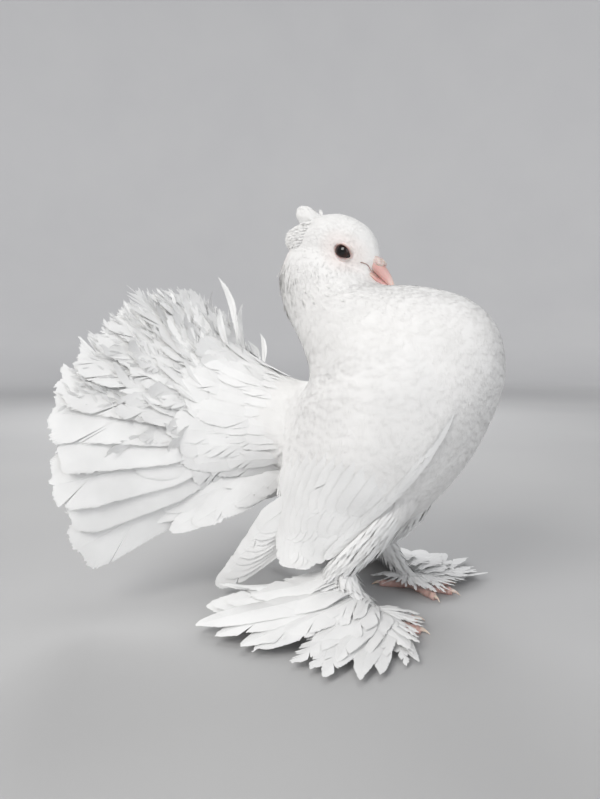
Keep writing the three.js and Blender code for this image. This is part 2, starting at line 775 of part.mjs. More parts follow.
// Head with its crest, and what is set into it
const sockets = union([eyeBall(RIGHT, GAP), eyeBall(LEFT, GAP)]);
const headFeathers = union([crest(), nape()]).subtract(grownNeck);
add("head", head().subtract(sockets).subtract(mouthSlit()).add(headFeathers), plumage);
for (const [side, word] of SIDES) {
  add(`eye_${word}`, eyeBall(side), eyeDark);
  const lid = eyeLid(side).subtract(eyeBall(side, GAP));
  add(`eyelids_${word}`, lid.subtract(grownHead).subtract(grownNeck), wax);
}
const billBottom = headLoft(BILL_LOWER_RINGS, BILL_SIDES).subtract(grownBill);
add("bill_upper", billTop().subtract(grownHead).subtract(grownNeck), horn);
add("bill_lower", billBottom.subtract(grownHead).subtract(grownNeck), horn);
const cereHalf = (side) => headBlob({ ...CERE, side: CERE.side * side });
const nostril = (side) => headBlob({ ...NOSTRIL, side: NOSTRIL.side * side });
const nostrils = union([nostril(RIGHT), nostril(LEFT)]);
const cere = union([cereHalf(RIGHT), cereHalf(LEFT)]).subtract(nostrils);
add("cere", cere.subtract(grownHead).subtract(grownBill), wax);

// The tail's base closes the body's first ring with rings that step back and shrink.
function baseRing(back, scale, grow) {
  const centre = at(...TAIL_BASE_CENTRE);
  return bodyRing(0).map((p) => {
    const arm = p.clone().sub(centre).multiplyScalar(scale);
    arm.setLength(arm.length() + grow);
    return arm.add(centre).add(at(-back, 0, 0));
  });
}
function tailBase(grow = 0) {
  const last = TAIL_BASE.length - 1;
  const rings = TAIL_BASE.map(({ back, scale }, i) => {
    const end = i === 0 ? -grow : i === last ? grow : 0;
    return baseRing(back + end, scale, grow);
  });
  return solid(loft(rings));
}
add("tail_base", tailBase(), plumage);

// The fan is in three pieces, side by side round its cone
const centreEdge = (TAIL_CENTRE_EACH_SIDE + 0.5) * TAIL_STEP;
const outerEdge = (TAIL_FEATHERS_EACH_SIDE + 0.4) * TAIL_STEP;
const sectors = [
  { name: "tail_right", from: -outerEdge, to: -centreEdge - SECTOR_GAP },
  { name: "tail_centre", from: -centreEdge, to: centreEdge },
  { name: "tail_left", from: centreEdge + SECTOR_GAP, to: outerEdge },
];
function tailCore({ from, to }, grow = 0) {
  const widen = grow > 0 ? SECTOR_GAP * 0.8 : 0;
  const lastReach = TAIL_CORE.reaches.length - 1;
  const reaches = TAIL_CORE.reaches.map((r, i) => r + (i === lastReach ? grow : 0));
  return tailShell(from - widen, to + widen, reaches, TAIL_CORE.thicks.map((t) => t + 2 * grow));
}
for (const sector of sectors) {
  const others = sectors.filter((other) => other !== sector).map((other) => tailCore(other, GAP));
  const feathers = tailFeathers(sector.from, sector.to).subtract(union(others));
  const shape = tailCore(sector).add(feathers).subtract(tailBase(GAP)).subtract(grownTorso);
  add(sector.name, shape, plumage);
}

for (const [side, word] of SIDES) {
  add(`leg_${word}`, thigh(side), plumage);
  const shank = limb(SHANK_RINGS, side, SHANK_SIDES).subtract(thigh(side, GAP));
  const toes = union(TOES.map((spec) => toe(spec, side)));
  add(`foot_${word}`, union([shank, toes, muff(side)]).subtract(belowFloor), plumage);
  const feathers = [wingTier(side, GREATER_COVERTS), wingTier(side, SECONDARIES), primaries(side)];
  const wing = union([wingShell(side), ...feathers]);
  add(`wing_${word}`, wing.subtract(grownTorso).subtract(grownNeck).subtract(thigh(side, GAP)), plumage);
}

// The origin is at the middle of the base of the whole bird's box
const extent = new THREE.Box3().setFromObject(bird, true);
const middle = extent.getCenter(new THREE.Vector3());
bird.position.set(-middle.x, -middle.y, -extent.min.z);

export default bird;
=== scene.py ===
"""A white crested fantail pigeon, life size: its skin, its small feathers, its long feathers, head and feet.

Shapes are worked out in millimetres in the bird's own frame: +X forward, +Y to its left, the floor at z = 0.
"""

import math
from dataclasses import dataclass, replace

import bpy
import numpy as np
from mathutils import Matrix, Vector
from mathutils.bvhtree import BVHTree
from mathutils.kdtree import KDTree


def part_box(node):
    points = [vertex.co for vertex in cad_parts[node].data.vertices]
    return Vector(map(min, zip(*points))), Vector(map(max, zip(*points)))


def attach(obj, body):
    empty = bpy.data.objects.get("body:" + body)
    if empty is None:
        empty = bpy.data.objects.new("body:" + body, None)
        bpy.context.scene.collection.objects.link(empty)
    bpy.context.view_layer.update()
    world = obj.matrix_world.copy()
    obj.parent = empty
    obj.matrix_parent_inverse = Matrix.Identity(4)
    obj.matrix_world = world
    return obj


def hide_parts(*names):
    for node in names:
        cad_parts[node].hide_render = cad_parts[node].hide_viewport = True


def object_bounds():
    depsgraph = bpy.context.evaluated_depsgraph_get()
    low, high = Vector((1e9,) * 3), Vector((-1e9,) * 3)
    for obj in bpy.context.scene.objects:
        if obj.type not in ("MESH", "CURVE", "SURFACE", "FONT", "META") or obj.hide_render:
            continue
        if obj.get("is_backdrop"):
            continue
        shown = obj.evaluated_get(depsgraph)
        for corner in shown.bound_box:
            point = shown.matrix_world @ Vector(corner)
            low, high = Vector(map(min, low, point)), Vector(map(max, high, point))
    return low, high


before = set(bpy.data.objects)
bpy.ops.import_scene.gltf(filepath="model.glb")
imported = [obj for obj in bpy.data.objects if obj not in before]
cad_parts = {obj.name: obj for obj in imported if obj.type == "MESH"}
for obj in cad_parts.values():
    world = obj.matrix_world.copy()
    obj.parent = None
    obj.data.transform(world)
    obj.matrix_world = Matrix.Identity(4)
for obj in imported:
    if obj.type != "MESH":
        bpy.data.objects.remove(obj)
cad_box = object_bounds()

RIGHT, LEFT = -1, 1
SIDES = ((RIGHT, "right"), (LEFT, "left"))
rng = np.random.default_rng(20251)

# Named sizes, most of them the same as the solids'

# Each ring of the body: a point on the back, a point on the belly, half width
BODY_RINGS = [
    ((-85, 130), (-88, 86), 18),
    ((-73, 138), (-78, 73), 27),
    ((-65, 140), (-52, 57), 38),
    ((-61, 141), (-24, 48), 45),
    ((-60, 142), (6, 54), 49),
    ((-60, 144), (34, 82), 51),
    ((-61, 147), (53, 116), 51),
    ((-63, 151), (61, 146), 49),
    ((-67, 159), (56, 172), 44),
    ((-73, 169), (40, 188), 37),
    ((-80, 181), (13, 196), 31),
    ((-84, 194), (-12, 198), 26),
    ((-85, 207), (-22, 205), 22),
    ((-81, 219), (-29, 210), 18),
]
BELLY_FULLNESS = 0.1
NECK_STARTS_AT = 8.4

# The head's rings along its axis: along, top, bottom, half width
HEAD_CENTRE = (-45, 221)
HEAD_DIP = math.radians(32)
HEAD_RINGS = [
    (-30, -3, -9, 4), (-27, 4, -13, 8.5), (-20, 13, -16, 13), (-10, 20, -17, 15.6), (0, 22.6, -16, 16),
    (9, 22.6, -13, 14.4), (16, 21, -10, 12), (22, 17.4, -7, 9.6), (26.5, 13, -4, 7.2), (29, 9, -1.5, 4),
]
# The middle of the solids' eyes: along, out, up
SOLID_EYE = (10.9, 9.6, 3.3)
EYE_RADIUS = 6.2
# The mandibles' rings: along, top, bottom, half width
BILL_UPPER = [
    (20, 9.4, 1.4, 4.6), (22, 9, 1.2, 4.4), (29, 8.4, 0.4, 4), (35, 6.4, -0.7, 3.2), (41, 3.4, -1.7, 2.2),
    (45.4, 0.1, -2.8, 1.3), (47.6, -2.2, -3.3, 0.5),
]
BILL_LOWER = [
    (20, 1.3, -3, 4), (22, 1.1, -3.2, 3.9), (29, 0.3, -3.6, 3.5), (36, -0.95, -4, 2.7), (42, -2, -4.1, 1.7),
    (44.4, -2.8, -3.9, 0.7),
]
# The middle of the eyeball, and half the width and height of the gap between its lids
EYE_IN_FACE = (10.4, 9.6, 2.3)
EYE_OPENING = (4.9, 3.5)
CERE = dict(along=28.3, side=2.1, up=7.1, radii=(5.4, 2.8, 2.6))
# The nostril slit, a small swelling in the brown of painted shade: along, out, up and radii
NOSTRIL = dict(along=30.6, side=3.4, up=6.2, radii=(1.7, 0.5, 0.4))

# Legs, given for the left side: centre and radius
THIGH = [
    ((10, 18, 84), 5), ((6, 22, 76), 13), ((-3, 28, 63), 15), ((-13, 33, 49), 12), ((-22, 36, 37), 8),
    ((-26, 36, 31.5), 6.4),
]
SHANK = [
    ((-27, 36, 34), 6), ((-25.5, 36, 31), 5.8), ((-20, 36, 22), 4.8), ((-11, 35.5, 12), 4.4),
    ((-4, 35, 4.8), 4.6),
]
FOOT_KNOB = [((-12, 35.5, 12), 3.6), ((-7, 35, 7), 4), ((-3, 35, 3.4), 4.2), ((-1, 35, 2.6), 3)]
# Toes run from the knot to their end, with a radius
TOE_KNOT = (-4, 35)
TOES = {"inner": ((15, 20), 3), "middle": ((22, 34), 3.3), "outer": ((15, 50), 3), "hind": ((-24, 29), 3)}
# How high a toe's middle line lies, as a share of its radius
SOLE_SHARE = 0.75
CLAW_LENGTH = 6.5

# The tail's feathers lie on a cone round this axis
TAIL_ROOT = np.array([-70.0, 0.0, 108.0])
TAIL_AXIS = np.array([-0.986, 0.0, -0.166]) / np.hypot(0.986, 0.166)
TAIL_UP = np.array([-0.166, 0.0, 0.986]) / np.hypot(0.986, 0.166)
TAIL_SIDE = np.array([0.0, 1.0, 0.0])
# The cone's half angle and the fan's reach, each at the fan's lower ends and at its top
TAIL_CONE = (46, 51)
TAIL_LENGTH = (153, 134)
# The stump under the tail: its middle, and how far back and how wide each ring is
TAIL_BASE = ((-87, 0, 106), ((0, 1), (5, 0.9), (9, 0.66), (12, 0.35)))
# The fleshy pad that the quills grow from: reach and thickness
TAIL_PAD = ((20, 11), (40, 10), (56, 7.6), (70, 5.2))

# Lines down the left wing
WING_FRONT = [
    (41, 32, 163), (43, 33, 150), (42, 34, 133), (31, 39, 107), (12, 42, 81), (-6, 43, 64), (-22, 43, 47),
    (-38, 45, 32),
]
WING_MIDDLE = [
    (0, 46, 170), (-6, 54, 152), (-12, 56, 130), (-16, 56, 106), (-24, 54, 86), (-36, 50, 66), (-45, 48, 48),
    (-48, 47, 29),
]
WING_REAR = [
    (-50, 22, 154), (-57, 21, 138), (-62, 23, 120), (-66, 30, 99), (-65, 39, 82), (-62, 44, 66),
    (-60, 47, 48), (-57, 48, 26),
]
WING_THICK = 4.6
# How far down the wing its flesh reaches
WING_SHELL_END = 0.7

# Camera, as the photograph's: its place, where it looks, and its focal length in pixels of the picture
CAMERA_AT = (133, -399.2, 162)
CAMERA_AZIMUTH = 27
CAMERA_PITCH = 4.6
FOCAL_PIXELS = 690
PICTURE = (600, 799)


# Small helpers

def unit(v):
    v = np.asarray(v, float)
    return v / np.maximum(np.linalg.norm(v, axis=-1, keepdims=True), 1e-9)


def mix(a, b, f):
    """From a at f = 0 to b at f = 1."""
    return a + (b - a) * f


def smooth(f):
    """A step from 0 to 1 without corners."""
    f = np.clip(f, 0, 1)
    return f * f * (3 - 2 * f)


def catmull(points, t):
    """A point of the centripetal curve through points, at t from 0 to 1."""
    p = [np.asarray(q, float) for q in points]
    x = t * (len(p) - 1)
    i = min(int(x), len(p) - 2)
    w = x - i
    p1, p2 = p[i], p[i + 1]
    p0 = p[i - 1] if i > 0 else 2 * p1 - p2
    p3 = p[i + 2] if i + 2 < len(p) else 2 * p2 - p1
    d0, d1, d2 = (max(np.linalg.norm(b - a), 1e-4) ** 0.5 for a, b in ((p0, p1), (p1, p2), (p2, p3)))
    t1 = ((p1 - p0) / d0 - (p2 - p0) / (d0 + d1) + (p2 - p1) / d1) * d1
    t2 = ((p2 - p1) / d1 - (p3 - p1) / (d1 + d2) + (p3 - p2) / d2) * d1
    return p1 + t1 * w + (3 * (p2 - p1) - 2 * t1 - t2) * w**2 + (2 * (p1 - p2) + t1 + t2) * w**3


def head_point(along, side, up):
    """A point of the head's own frame: along the bill's line, out to the left, up from it."""
    c, s = math.cos(HEAD_DIP), math.sin(HEAD_DIP)
    return np.array([HEAD_CENTRE[0] + along * c + up * s, side, HEAD_CENTRE[1] - along * s + up * c])


def head_direction(along, side, up):
    return head_point(along, side, up) - head_point(0, 0, 0)


def eye_centre(side):
    return head_point(EYE_IN_FACE[0], side * EYE_IN_FACE[1], EYE_IN_FACE[2])


def eye_opening(side):
    """The middle of the gap between the lids, on the eye's outer face."""
    return eye_centre(side) + np.array([0, side * EYE_RADIUS * 0.75, 0])


def box_middle(node):
    low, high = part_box(node)
    return (np.array(low) + np.array(high)) / 2


# The solids are centred on their own box, so this is where the bird's own frame lies in theirs.
BETWEEN_EYES = (box_middle("eye_left") + box_middle("eye_right")) / 2
SHIFT = BETWEEN_EYES - head_point(SOLID_EYE[0], 0, SOLID_EYE[2]) / 1000


def place(points):
    """Millimetres in the bird's frame to metres in the row frame."""
    return np.asarray(points, float) / 1000 + SHIFT


# Surfaces of flesh

def oval(top, bottom, half, angle, grow=0.0, fullness=0.0):
    """A point of an upright oval between two points of the middle plane."""
    top, bottom = np.asarray(top, float), np.asarray(bottom, float)
    centre, axis = (top + bottom) / 2, (top - bottom) / 2
    reach = np.linalg.norm(axis)
    axis = axis * (reach + grow) / reach
    across = math.sin(angle)
    point = centre + axis * (math.cos(angle) - fullness * across * across)
    return point + np.array([0, (half + grow) * across, 0])


def body_point(station, angle, grow=0.0):
    """A point of the body: station counts its rings from the tail up to the neck, angle 0 is on the back."""
    t = station / (len(BODY_RINGS) - 1)
    back = catmull([(r[0][0], r[2], r[0][1]) for r in BODY_RINGS], t)
    belly = catmull([(r[1][0], r[2], r[1][1]) for r in BODY_RINGS], t)
    half = back[1]
    return oval((back[0], 0, back[2]), (belly[0], 0, belly[2]), half, angle, grow, BELLY_FULLNESS)


def head_surface(t, angle, grow=0.0):
    """A point of the head, at t from its back to the bill and an angle round it from the crown."""
    along, top, bottom, half = catmull(HEAD_RINGS, t)
    return oval(head_point(along, 0, top), head_point(along, 0, bottom), half, angle, grow)


def limb_rings(centres, side, steps, sides, grow=0.0):
    """Rings of points round a smooth line of centres with radii."""
    line = [(x, y * side, z, r) for (x, y, z), r in centres]
    rings = []
    for i in range(steps + 1):
        t = i / steps
        here = catmull(line, t)
        ahead = catmull(line, min(t + 0.02, 1)) - catmull(line, max(t - 0.02, 0))
        along = unit(ahead[:3])
        out = unit(np.cross(along, (0, 1, 0)))
        over = np.cross(out, along)
        radius = max(here[3] + grow, 0.3)
        angles = np.linspace(0, 2 * math.pi, sides, endpoint=False)
        rings.append([here[:3] + radius * (math.cos(a) * out + math.sin(a) * over) for a in angles])
    return rings


def topness(degrees):
    """1 at the fan's top, falling to 0 at its sides and below."""
    return max(0.0, math.cos(math.radians(degrees))) ** 2


def tail_along(degrees):
    """The way a tail feather points, degrees round the cone from its top."""
    turn = math.radians(degrees)
    cone = math.radians(mix(*TAIL_CONE, topness(degrees)))
    out = TAIL_UP * math.cos(turn) + TAIL_SIDE * math.sin(turn)
    return out * math.sin(cone) + TAIL_AXIS * math.cos(cone)


def tail_frame(degrees):
    """Directions along the tail's cone, round it and out of it."""
    along = tail_along(degrees)
    around = unit(tail_along(degrees + 1) - tail_along(degrees - 1))
    return along, around, np.cross(around, along)


def wing_point(side, down, across):
    """A point of the wing's sheet: down from the shoulder, 0 to 1, and across, -1 at its front to 1."""
    front, middle, rear = (catmull(line, min(down, 1)) for line in (WING_FRONT, WING_MIDDLE, WING_REAR))
    point = front * across * (across - 1) / 2
    point = point + middle * (1 - across * across) + rear * across * (across + 1) / 2
    return point * (1, side, 1)


def wing_normal(side, down, across):
    step = 0.01
    down = min(down, 1 - step)
    u = wing_point(side, down + step, across) - wing_point(side, down - step, across)
    v = wing_point(side, down, across + step) - wing_point(side, down, across - step)
    normal = unit(np.cross(u, v))
    return normal if normal[1] * side > 0 else -normal


# Meshes

def mesh_points(mesh):
    """A mesh's points, in millimetres in the bird's frame."""
    points = np.empty(len(mesh.vertices) * 3, np.float32)
    mesh.vertices.foreach_get("co", points)
    return (points.reshape(-1, 3).astype(float) - SHIFT) * 1000


def make_object(name, points, faces, material, uv=None):
    """A mesh object of triangles or quads, from points in the bird's frame."""
    mesh = bpy.data.meshes.new(name)
    points = place(points)
    faces = np.asarray(faces, np.int32)
    corners = faces.shape[1]
    mesh.vertices.add(len(points))
    mesh.vertices.foreach_set("co", points.astype(np.float32).ravel())
    mesh.loops.add(faces.size)
    mesh.loops.foreach_set("vertex_index", faces.ravel())
    mesh.polygons.add(len(faces))
    mesh.polygons.foreach_set("loop_start", np.arange(0, faces.size, corners, dtype=np.int32))
    mesh.polygons.foreach_set("use_smooth", np.ones(len(faces), bool))
    if uv is not None:
        layer = mesh.uv_layers.new(name="OFBake")
        layer.data.foreach_set("uv", np.asarray(uv, np.float32)[faces.ravel()].ravel())
    mesh.materials.append(material)
    mesh.update(calc_edges=True)
    mesh.validate()
    obj = bpy.data.objects.new(name, mesh)
    bpy.context.scene.collection.objects.link(obj)
    return obj


def loft(rings):
    """Points and triangles of a closed skin over rings, capped at both ends."""
    rings = [np.asarray(r, float) for r in rings]
    sides = len(rings[0])
    points = np.vstack(rings + [rings[0].mean(0)[None], rings[-1].mean(0)[None]])
    first_cap, last_cap = len(points) - 2, len(points) - 1
    faces = []
    for r in range(len(rings) - 1):
        for s in range(sides):
            a, b = r * sides + s, r * sides + (s + 1) % sides
            faces += [(a, a + sides, b), (b, a + sides, b + sides)]
    end = (len(rings) - 1) * sides
    for s in range(sides):
        faces.append((s, (s + 1) % sides, first_cap))
        faces.append((end + (s + 1) % sides, end + s, last_cap))
    return points, np.array(faces)


def plate(rows):
    """Points and triangles of a thin plate over a grid of (point, normal, thickness) cells."""
    columns = len(rows[0])
    cells = [cell for row in rows for cell in row]
    upper = [p + n * t / 2 for p, n, t in cells]
    lower = [p - n * t / 2 for p, n, t in cells]
    off = len(upper)
    faces = []

    def quad(a, b, c, d):
        faces.extend(((a, b, d), (b, c, d)))

    for r in range(len(rows) - 1):
        for c in range(columns - 1):
            a = r * columns + c
            quad(a, a + 1, a + columns + 1, a + columns)
            quad(a + off, a + columns + off, a + columns + 1 + off, a + 1 + off)
        for a, turned in ((r * columns, False), (r * columns + columns - 1, True)):
            side = (a, a + columns, a + columns + off, a + off)
            quad(*(reversed(side) if turned else side))
    last = (len(rows) - 1) * columns
    for c in range(columns - 1):
        quad(c + 1, c, c + off, c + 1 + off)
        quad(last + c, last + c + 1, last + c + 1 + off, last + c + off)
    return np.array(upper + lower), np.array(faces)


def ball(rows=16, columns=24):
    """Rings of points of a ball of radius 1, from pole to pole along its third axis."""
    polar = np.linspace(0, math.pi, rows + 1)[1:-1, None]
    angles = np.linspace(0, 2 * math.pi, columns, endpoint=False)[None, :]
    across, up = np.sin(polar), np.cos(polar)
    return np.stack([across * np.cos(angles), across * np.sin(angles), up + 0 * angles], 2)


def sphere(centre, radii, rows=16, columns=24):
    return loft(list(ball(rows, columns) * radii + centre))


def head_swelling(along, side, up, radii, lumps=0.0, rows=18, columns=28):
    """A rounded swelling in the head's own frame, with its radii along, across and up, smooth or lumpy."""
    shape = ball(rows, columns)
    x, y, z = (shape[..., i] for i in range(3))
    size = 1 + lumps * (np.sin(5 * x + 3 * z) + 0.8 * np.sin(7 * y + 2 * x) + 0.6 * np.sin(9 * z - 4 * y))
    shape = shape * size[..., None] * radii
    axes = np.array([head_direction(1, 0, 0), head_direction(0, 1, 0), head_direction(0, 0, 1)])
    return loft(list(shape @ axes + head_point(along, side, up)))


# Skin

# How deep the coat is over the body, the head and the shanks
COAT = 2.0
HEAD_COAT = 0.9
SHANK_COAT = 1.0
# The remeshed skin's voxels, in metres, and rounds of smoothing
SKIN_VOXEL = 0.0016
SKIN_SMOOTHING = 16
BODY_SIDES = 56
# The slope from the rump to the fan: where it leaves the body and meets the fan, its half turn in degrees,
# how high it ends over the fan, its half thickness, and how deep its lower ends sink in
SADDLE_STATION = 1.6
SADDLE_REACH = 60
SADDLE_TURN = 118
SADDLE_RISE = 1.3
SADDLE_HALF = 3.2
SADDLE_SINK = 7.0
# Half the pad's turn round the fan, in degrees, and how much thinner it is than in the solids
PAD_TURN = 121
PAD_INSET = 2.5
# Rounds off the head between the cheeks, under the bill's root
CHIN = dict(along=23.5, side=0, up=-1.6, radii=(6.8, 5.4, 5.0))
# The flesh at the wing's hand, where the primaries grow
WING_HAND = ((-40, 42, 72), (8, 4.5, 10))
# How deep the skin lies hollowed round the eyes, how far out that begins, and over what width
SOCKET_DEPTH = 2.6
SOCKET_EDGE = 1.3
SOCKET_SLOPE = 0.35


def flesh_parts():
    """Closed overlapping forms of all that is flesh, inside the solids by the coat's depth."""
    around = np.linspace(0, 2 * math.pi, BODY_SIDES, endpoint=False)
    stations = np.linspace(0, len(BODY_RINGS) - 1, 90)
    body = [np.array([body_point(s, a, -COAT) for a in around]) for s in stations]
    yield loft(body + dome(body[-1]))
    yield loft([[head_surface(t, a, -HEAD_COAT) for a in around[::2]] for t in np.linspace(0, 1, 40)])
    yield head_swelling(**CHIN)
    centre = np.array(TAIL_BASE[0], float)
    inside_body = (-6, 1)
    stump_rings = (inside_body,) + TAIL_BASE[1]
    yield loft([centre + (body[0] - centre) * scale - (back, 0, 0) for back, scale in stump_rings])
    yield tail_pad()
    yield tail_saddle()
    for side, _ in SIDES:
        yield loft(limb_rings(THIGH, side, 24, 24, -COAT))
        yield loft(limb_rings(SHANK, side, 14, 16, -SHANK_COAT))
        yield wing_shell(side)
        yield sphere(np.array(WING_HAND[0]) * (1, side, 1), WING_HAND[1])


def dome(ring):
    """Closes the neck's top inside the head, so that the nape runs on smoothly."""
    centre, rise = ring.mean(0), unit((0.2, 0, 1)) * 11
    return [centre + (ring - centre) * math.cos(a) + rise * math.sin(a) for a in (0.3, 0.6, 0.9, 1.2, 1.45)]


def tail_pad():
    """The pad round the fan's root, which the tail feathers grow from."""
    rows = []
    for reach, thick in TAIL_PAD:
        frames = [tail_frame(degrees) for degrees in np.linspace(-PAD_TURN, PAD_TURN, 60)]
        rows.append([(TAIL_ROOT + along * reach, normal, thick - PAD_INSET) for along, _, normal in frames])
    return plate(rows)


def saddle_place(angle, share, grow=0.0):
    """A point of the smooth slope from the rump up on to the fan, and the way out of it."""
    along, _, normal = tail_frame(math.degrees(angle))
    body = body_point(SADDLE_STATION, angle, -COAT)
    out = unit(body_point(SADDLE_STATION, angle, 1) - body)
    fan = TAIL_ROOT + along * SADDLE_REACH + normal * SADDLE_RISE
    out = unit(mix(out, normal, share))
    return mix(body, fan, share) + out * grow, out


def saddle_sunk(angle):
    """How far the slope sinks in at its lower ends, so that it runs out under the tail without an edge."""
    return SADDLE_SINK * smooth((abs(angle) - 1.25) / 0.75)


def tail_saddle():
    """The slope's plate, which thins out towards the fan."""
    angles = np.linspace(-math.radians(SADDLE_TURN), math.radians(SADDLE_TURN), 56)
    rows = []
    for share in np.linspace(0, 1, 9):
        half = SADDLE_HALF * (1 - 0.6 * share)
        places = [saddle_place(a, share, -half - saddle_sunk(a)) for a in angles]
        rows.append([(point, out, 2 * half) for point, out in places])
    return plate(rows)


def wing_shell(side):
    """The wing's flesh, down to where only quills go on."""
    rows = []
    for down in np.linspace(0.02, WING_SHELL_END, 26):
        row = []
        for across in np.linspace(-1, 1, 22):
            point, normal = wing_point(side, down, across), wing_normal(side, down, across)
            row.append((point - normal * wing_sunk(down, across), normal, 2 * wing_surface(down, across)))
        rows.append(row)
    return plate(rows)


def wing_sunk(down, across):
    """How deep the wing's upper end lies in the shoulder, so that no step shows there."""
    return 6.0 * (1 - smooth(down / 0.26)) + 2 * across**4 * (1 - smooth(down / 0.4))


def wing_surface(down, across):
    """Half the thickness of the wing's flesh, which thins out at its edges and towards the quills."""
    thin = min(1, 4 * down) * (1 - 0.45 * across * across) * mix(1, 0.4, smooth((down - 0.45) / 0.25))
    return max(0.7, (WING_THICK * thin - 1.0) / 2)


def join(parts):
    """One mesh's points and faces from several."""
    points, faces, start = [], [], 0
    for p, f in parts:
        points.append(p)
        faces.append(f + start)
        start += len(p)
    return np.vstack(points), np.vstack(faces)


def make_skin(material):
    """One skin over all the flesh, remeshed so that no seam shows."""
    skin = make_object("skin", *join(flesh_parts()), material)
    remesh = skin.modifiers.new("remesh", "REMESH")
    remesh.mode = "VOXEL"
    remesh.voxel_size = SKIN_VOXEL
    soften = skin.modifiers.new("soften", "SMOOTH")
    soften.factor = 0.5
    soften.iterations = SKIN_SMOOTHING
    apply_modifiers(skin)
    hollow_sockets(skin.data)
    skin.data.polygons.foreach_set("use_smooth", np.ones(len(skin.data.polygons), bool))
    unwrap(skin)
    return skin


def hollow_sockets(mesh):
    """Sinks the skin behind the lids, so that each eye fills its opening."""
    points = mesh_points(mesh)
    depth = SOCKET_DEPTH * smooth((SOCKET_EDGE - eye_distance(points)) / SOCKET_SLOPE)
    points[:, 1] -= np.sign(points[:, 1]) * depth
    mesh.vertices.foreach_set("co", place(points).astype(np.float32).ravel())


def apply_modifiers(obj):
    depsgraph = bpy.context.evaluated_depsgraph_get()
    mesh = bpy.data.meshes.new_from_object(obj.evaluated_get(depsgraph), depsgraph=depsgraph)
    old = obj.data
    obj.modifiers.clear()
    obj.data = mesh
    bpy.data.meshes.remove(old)


def unwrap(obj):
    """Lays the surface out flat in the UV map named OFBake."""
    bpy.ops.object.select_all(action="DESELECT")
    bpy.context.view_layer.objects.active = obj
    obj.select_set(True)
    obj.data.uv_layers.new(name="OFBake")
    bpy.ops.object.mode_set(mode="EDIT")
    bpy.ops.mesh.select_all(action="SELECT")
    bpy.ops.uv.smart_project(angle_limit=math.radians(66), island_margin=0.002)
    bpy.ops.object.mode_set(mode="OBJECT")


class Ground:
    """The skin as something to plant feathers on: its faces, smooth normals and place in the UV map."""

    def __init__(self, skin):
        mesh = skin.data
        self.points = mesh_points(mesh)
        mesh.calc_loop_triangles()
        count = len(mesh.loop_triangles)
        faces, loops = np.empty(count * 3, np.int32), np.empty(count * 3, np.int32)
        mesh.loop_triangles.foreach_get("vertices", faces)
        mesh.loop_triangles.foreach_get("loops", loops)
        self.faces = faces.reshape(-1, 3)
        uv = np.empty(len(mesh.loops) * 2, np.float32)
        mesh.uv_layers["OFBake"].data.foreach_get("uv", uv)
        self.uv = uv.reshape(-1, 2)[loops].reshape(-1, 3, 2).mean(1)
        a, b, c = (self.points[self.faces[:, i]] for i in range(3))
        cross = np.cross(b - a, c - a)
        self.areas = np.linalg.norm(cross, axis=1) / 2
        vertex_normals = np.zeros_like(self.points)
        for i in range(3):
            np.add.at(vertex_normals, self.faces[:, i], cross)
        vertex_normals = unit(vertex_normals)
        self.normals = unit(sum(vertex_normals[self.faces[:, i]] for i in range(3)))
        self.tree = BVHTree.FromPolygons(self.points.tolist(), self.faces.tolist())

    def nearest(self, points):
        """The nearest place on the skin to each point: (places, normals, faces)."""
        places, faces = np.empty((len(points), 3)), np.empty(len(points), int)
        for i, p in enumerate(points):
            location, _, face, _ = self.tree.find_nearest(Vector(p))
            places[i], faces[i] = location, face
        return places, self.normals[faces], faces

    def side_depth(self, point, side):
        """How far out to one side the skin lies level with a point, or 0 where there is none."""
        hit = self.tree.ray_cast(Vector((point[0], side * 60, point[2])), Vector((0, -side, 0)))[0]
        return 0.0 if hit is None else hit[1] * side

    def scatter(self, count):
        """Seeded places all over the skin: (places, faces)."""
        faces = rng.choice(len(self.faces), size=count, p=self.areas / self.areas.sum())
        u, v = rng.random(count), rng.random(count)
        fold = u + v > 1
        u[fold], v[fold] = 1 - u[fold], 1 - v[fold]
        a, b, c = (self.points[self.faces[faces, i]] for i in range(3))
        return a + (b - a) * u[:, None] + (c - a) * v[:, None], faces


# The lie of the coat

# Small feathers by region: length, half width, spacing between roots, lift of the tip
COATS = {
    "face": (2.8, 0.65, 0.95, 0.22),
    "head": (4.6, 0.9, 1.2, 0.35),
    "neck": (9, 1.1, 1.6, 0.38),
    "breast": (12.5, 3.2, 2.9, 0.32),
    "back": (13, 3.6, 3.1, 0.36),
    "wing": (12, 3.8, 3.2, 0.3),
    "rump": (16, 3.4, 3.1, 0.6),
    "thigh": (14, 1.7, 1.9, 0.5),
    "shank": (9, 1.5, 1.8, 0.8),
    "tail": (20, 4.2, 3.5, 0.5),
}
CIRCLE = np.linspace(0, 2 * math.pi, 40, endpoint=False)
# Below this the wing has no small feathers, only quills
QUILLS_START_AT = 0.6


def coat(region):
    """The sizes of a region's small feathers."""
    return np.array(COATS[region], float)


def body_lie():
    """On body and neck the feathers point back along the rings, and grow smaller up the neck."""
    for station in np.linspace(0.2, len(BODY_RINGS) - 1, 56):
        neckness = smooth((station - 8.6) / 2.6)
        piece = "neck" if station > NECK_STARTS_AT else "body"
        for angle in CIRCLE:
            upper = smooth(0.5 + 0.5 * math.cos(angle))
            sizes = mix(mix(coat("breast"), coat("back"), upper), coat("neck"), neckness)
            here, below = (body_point(max(at, 0), angle, -COAT) for at in (station, station - 0.2))
            yield here, below, sizes, piece


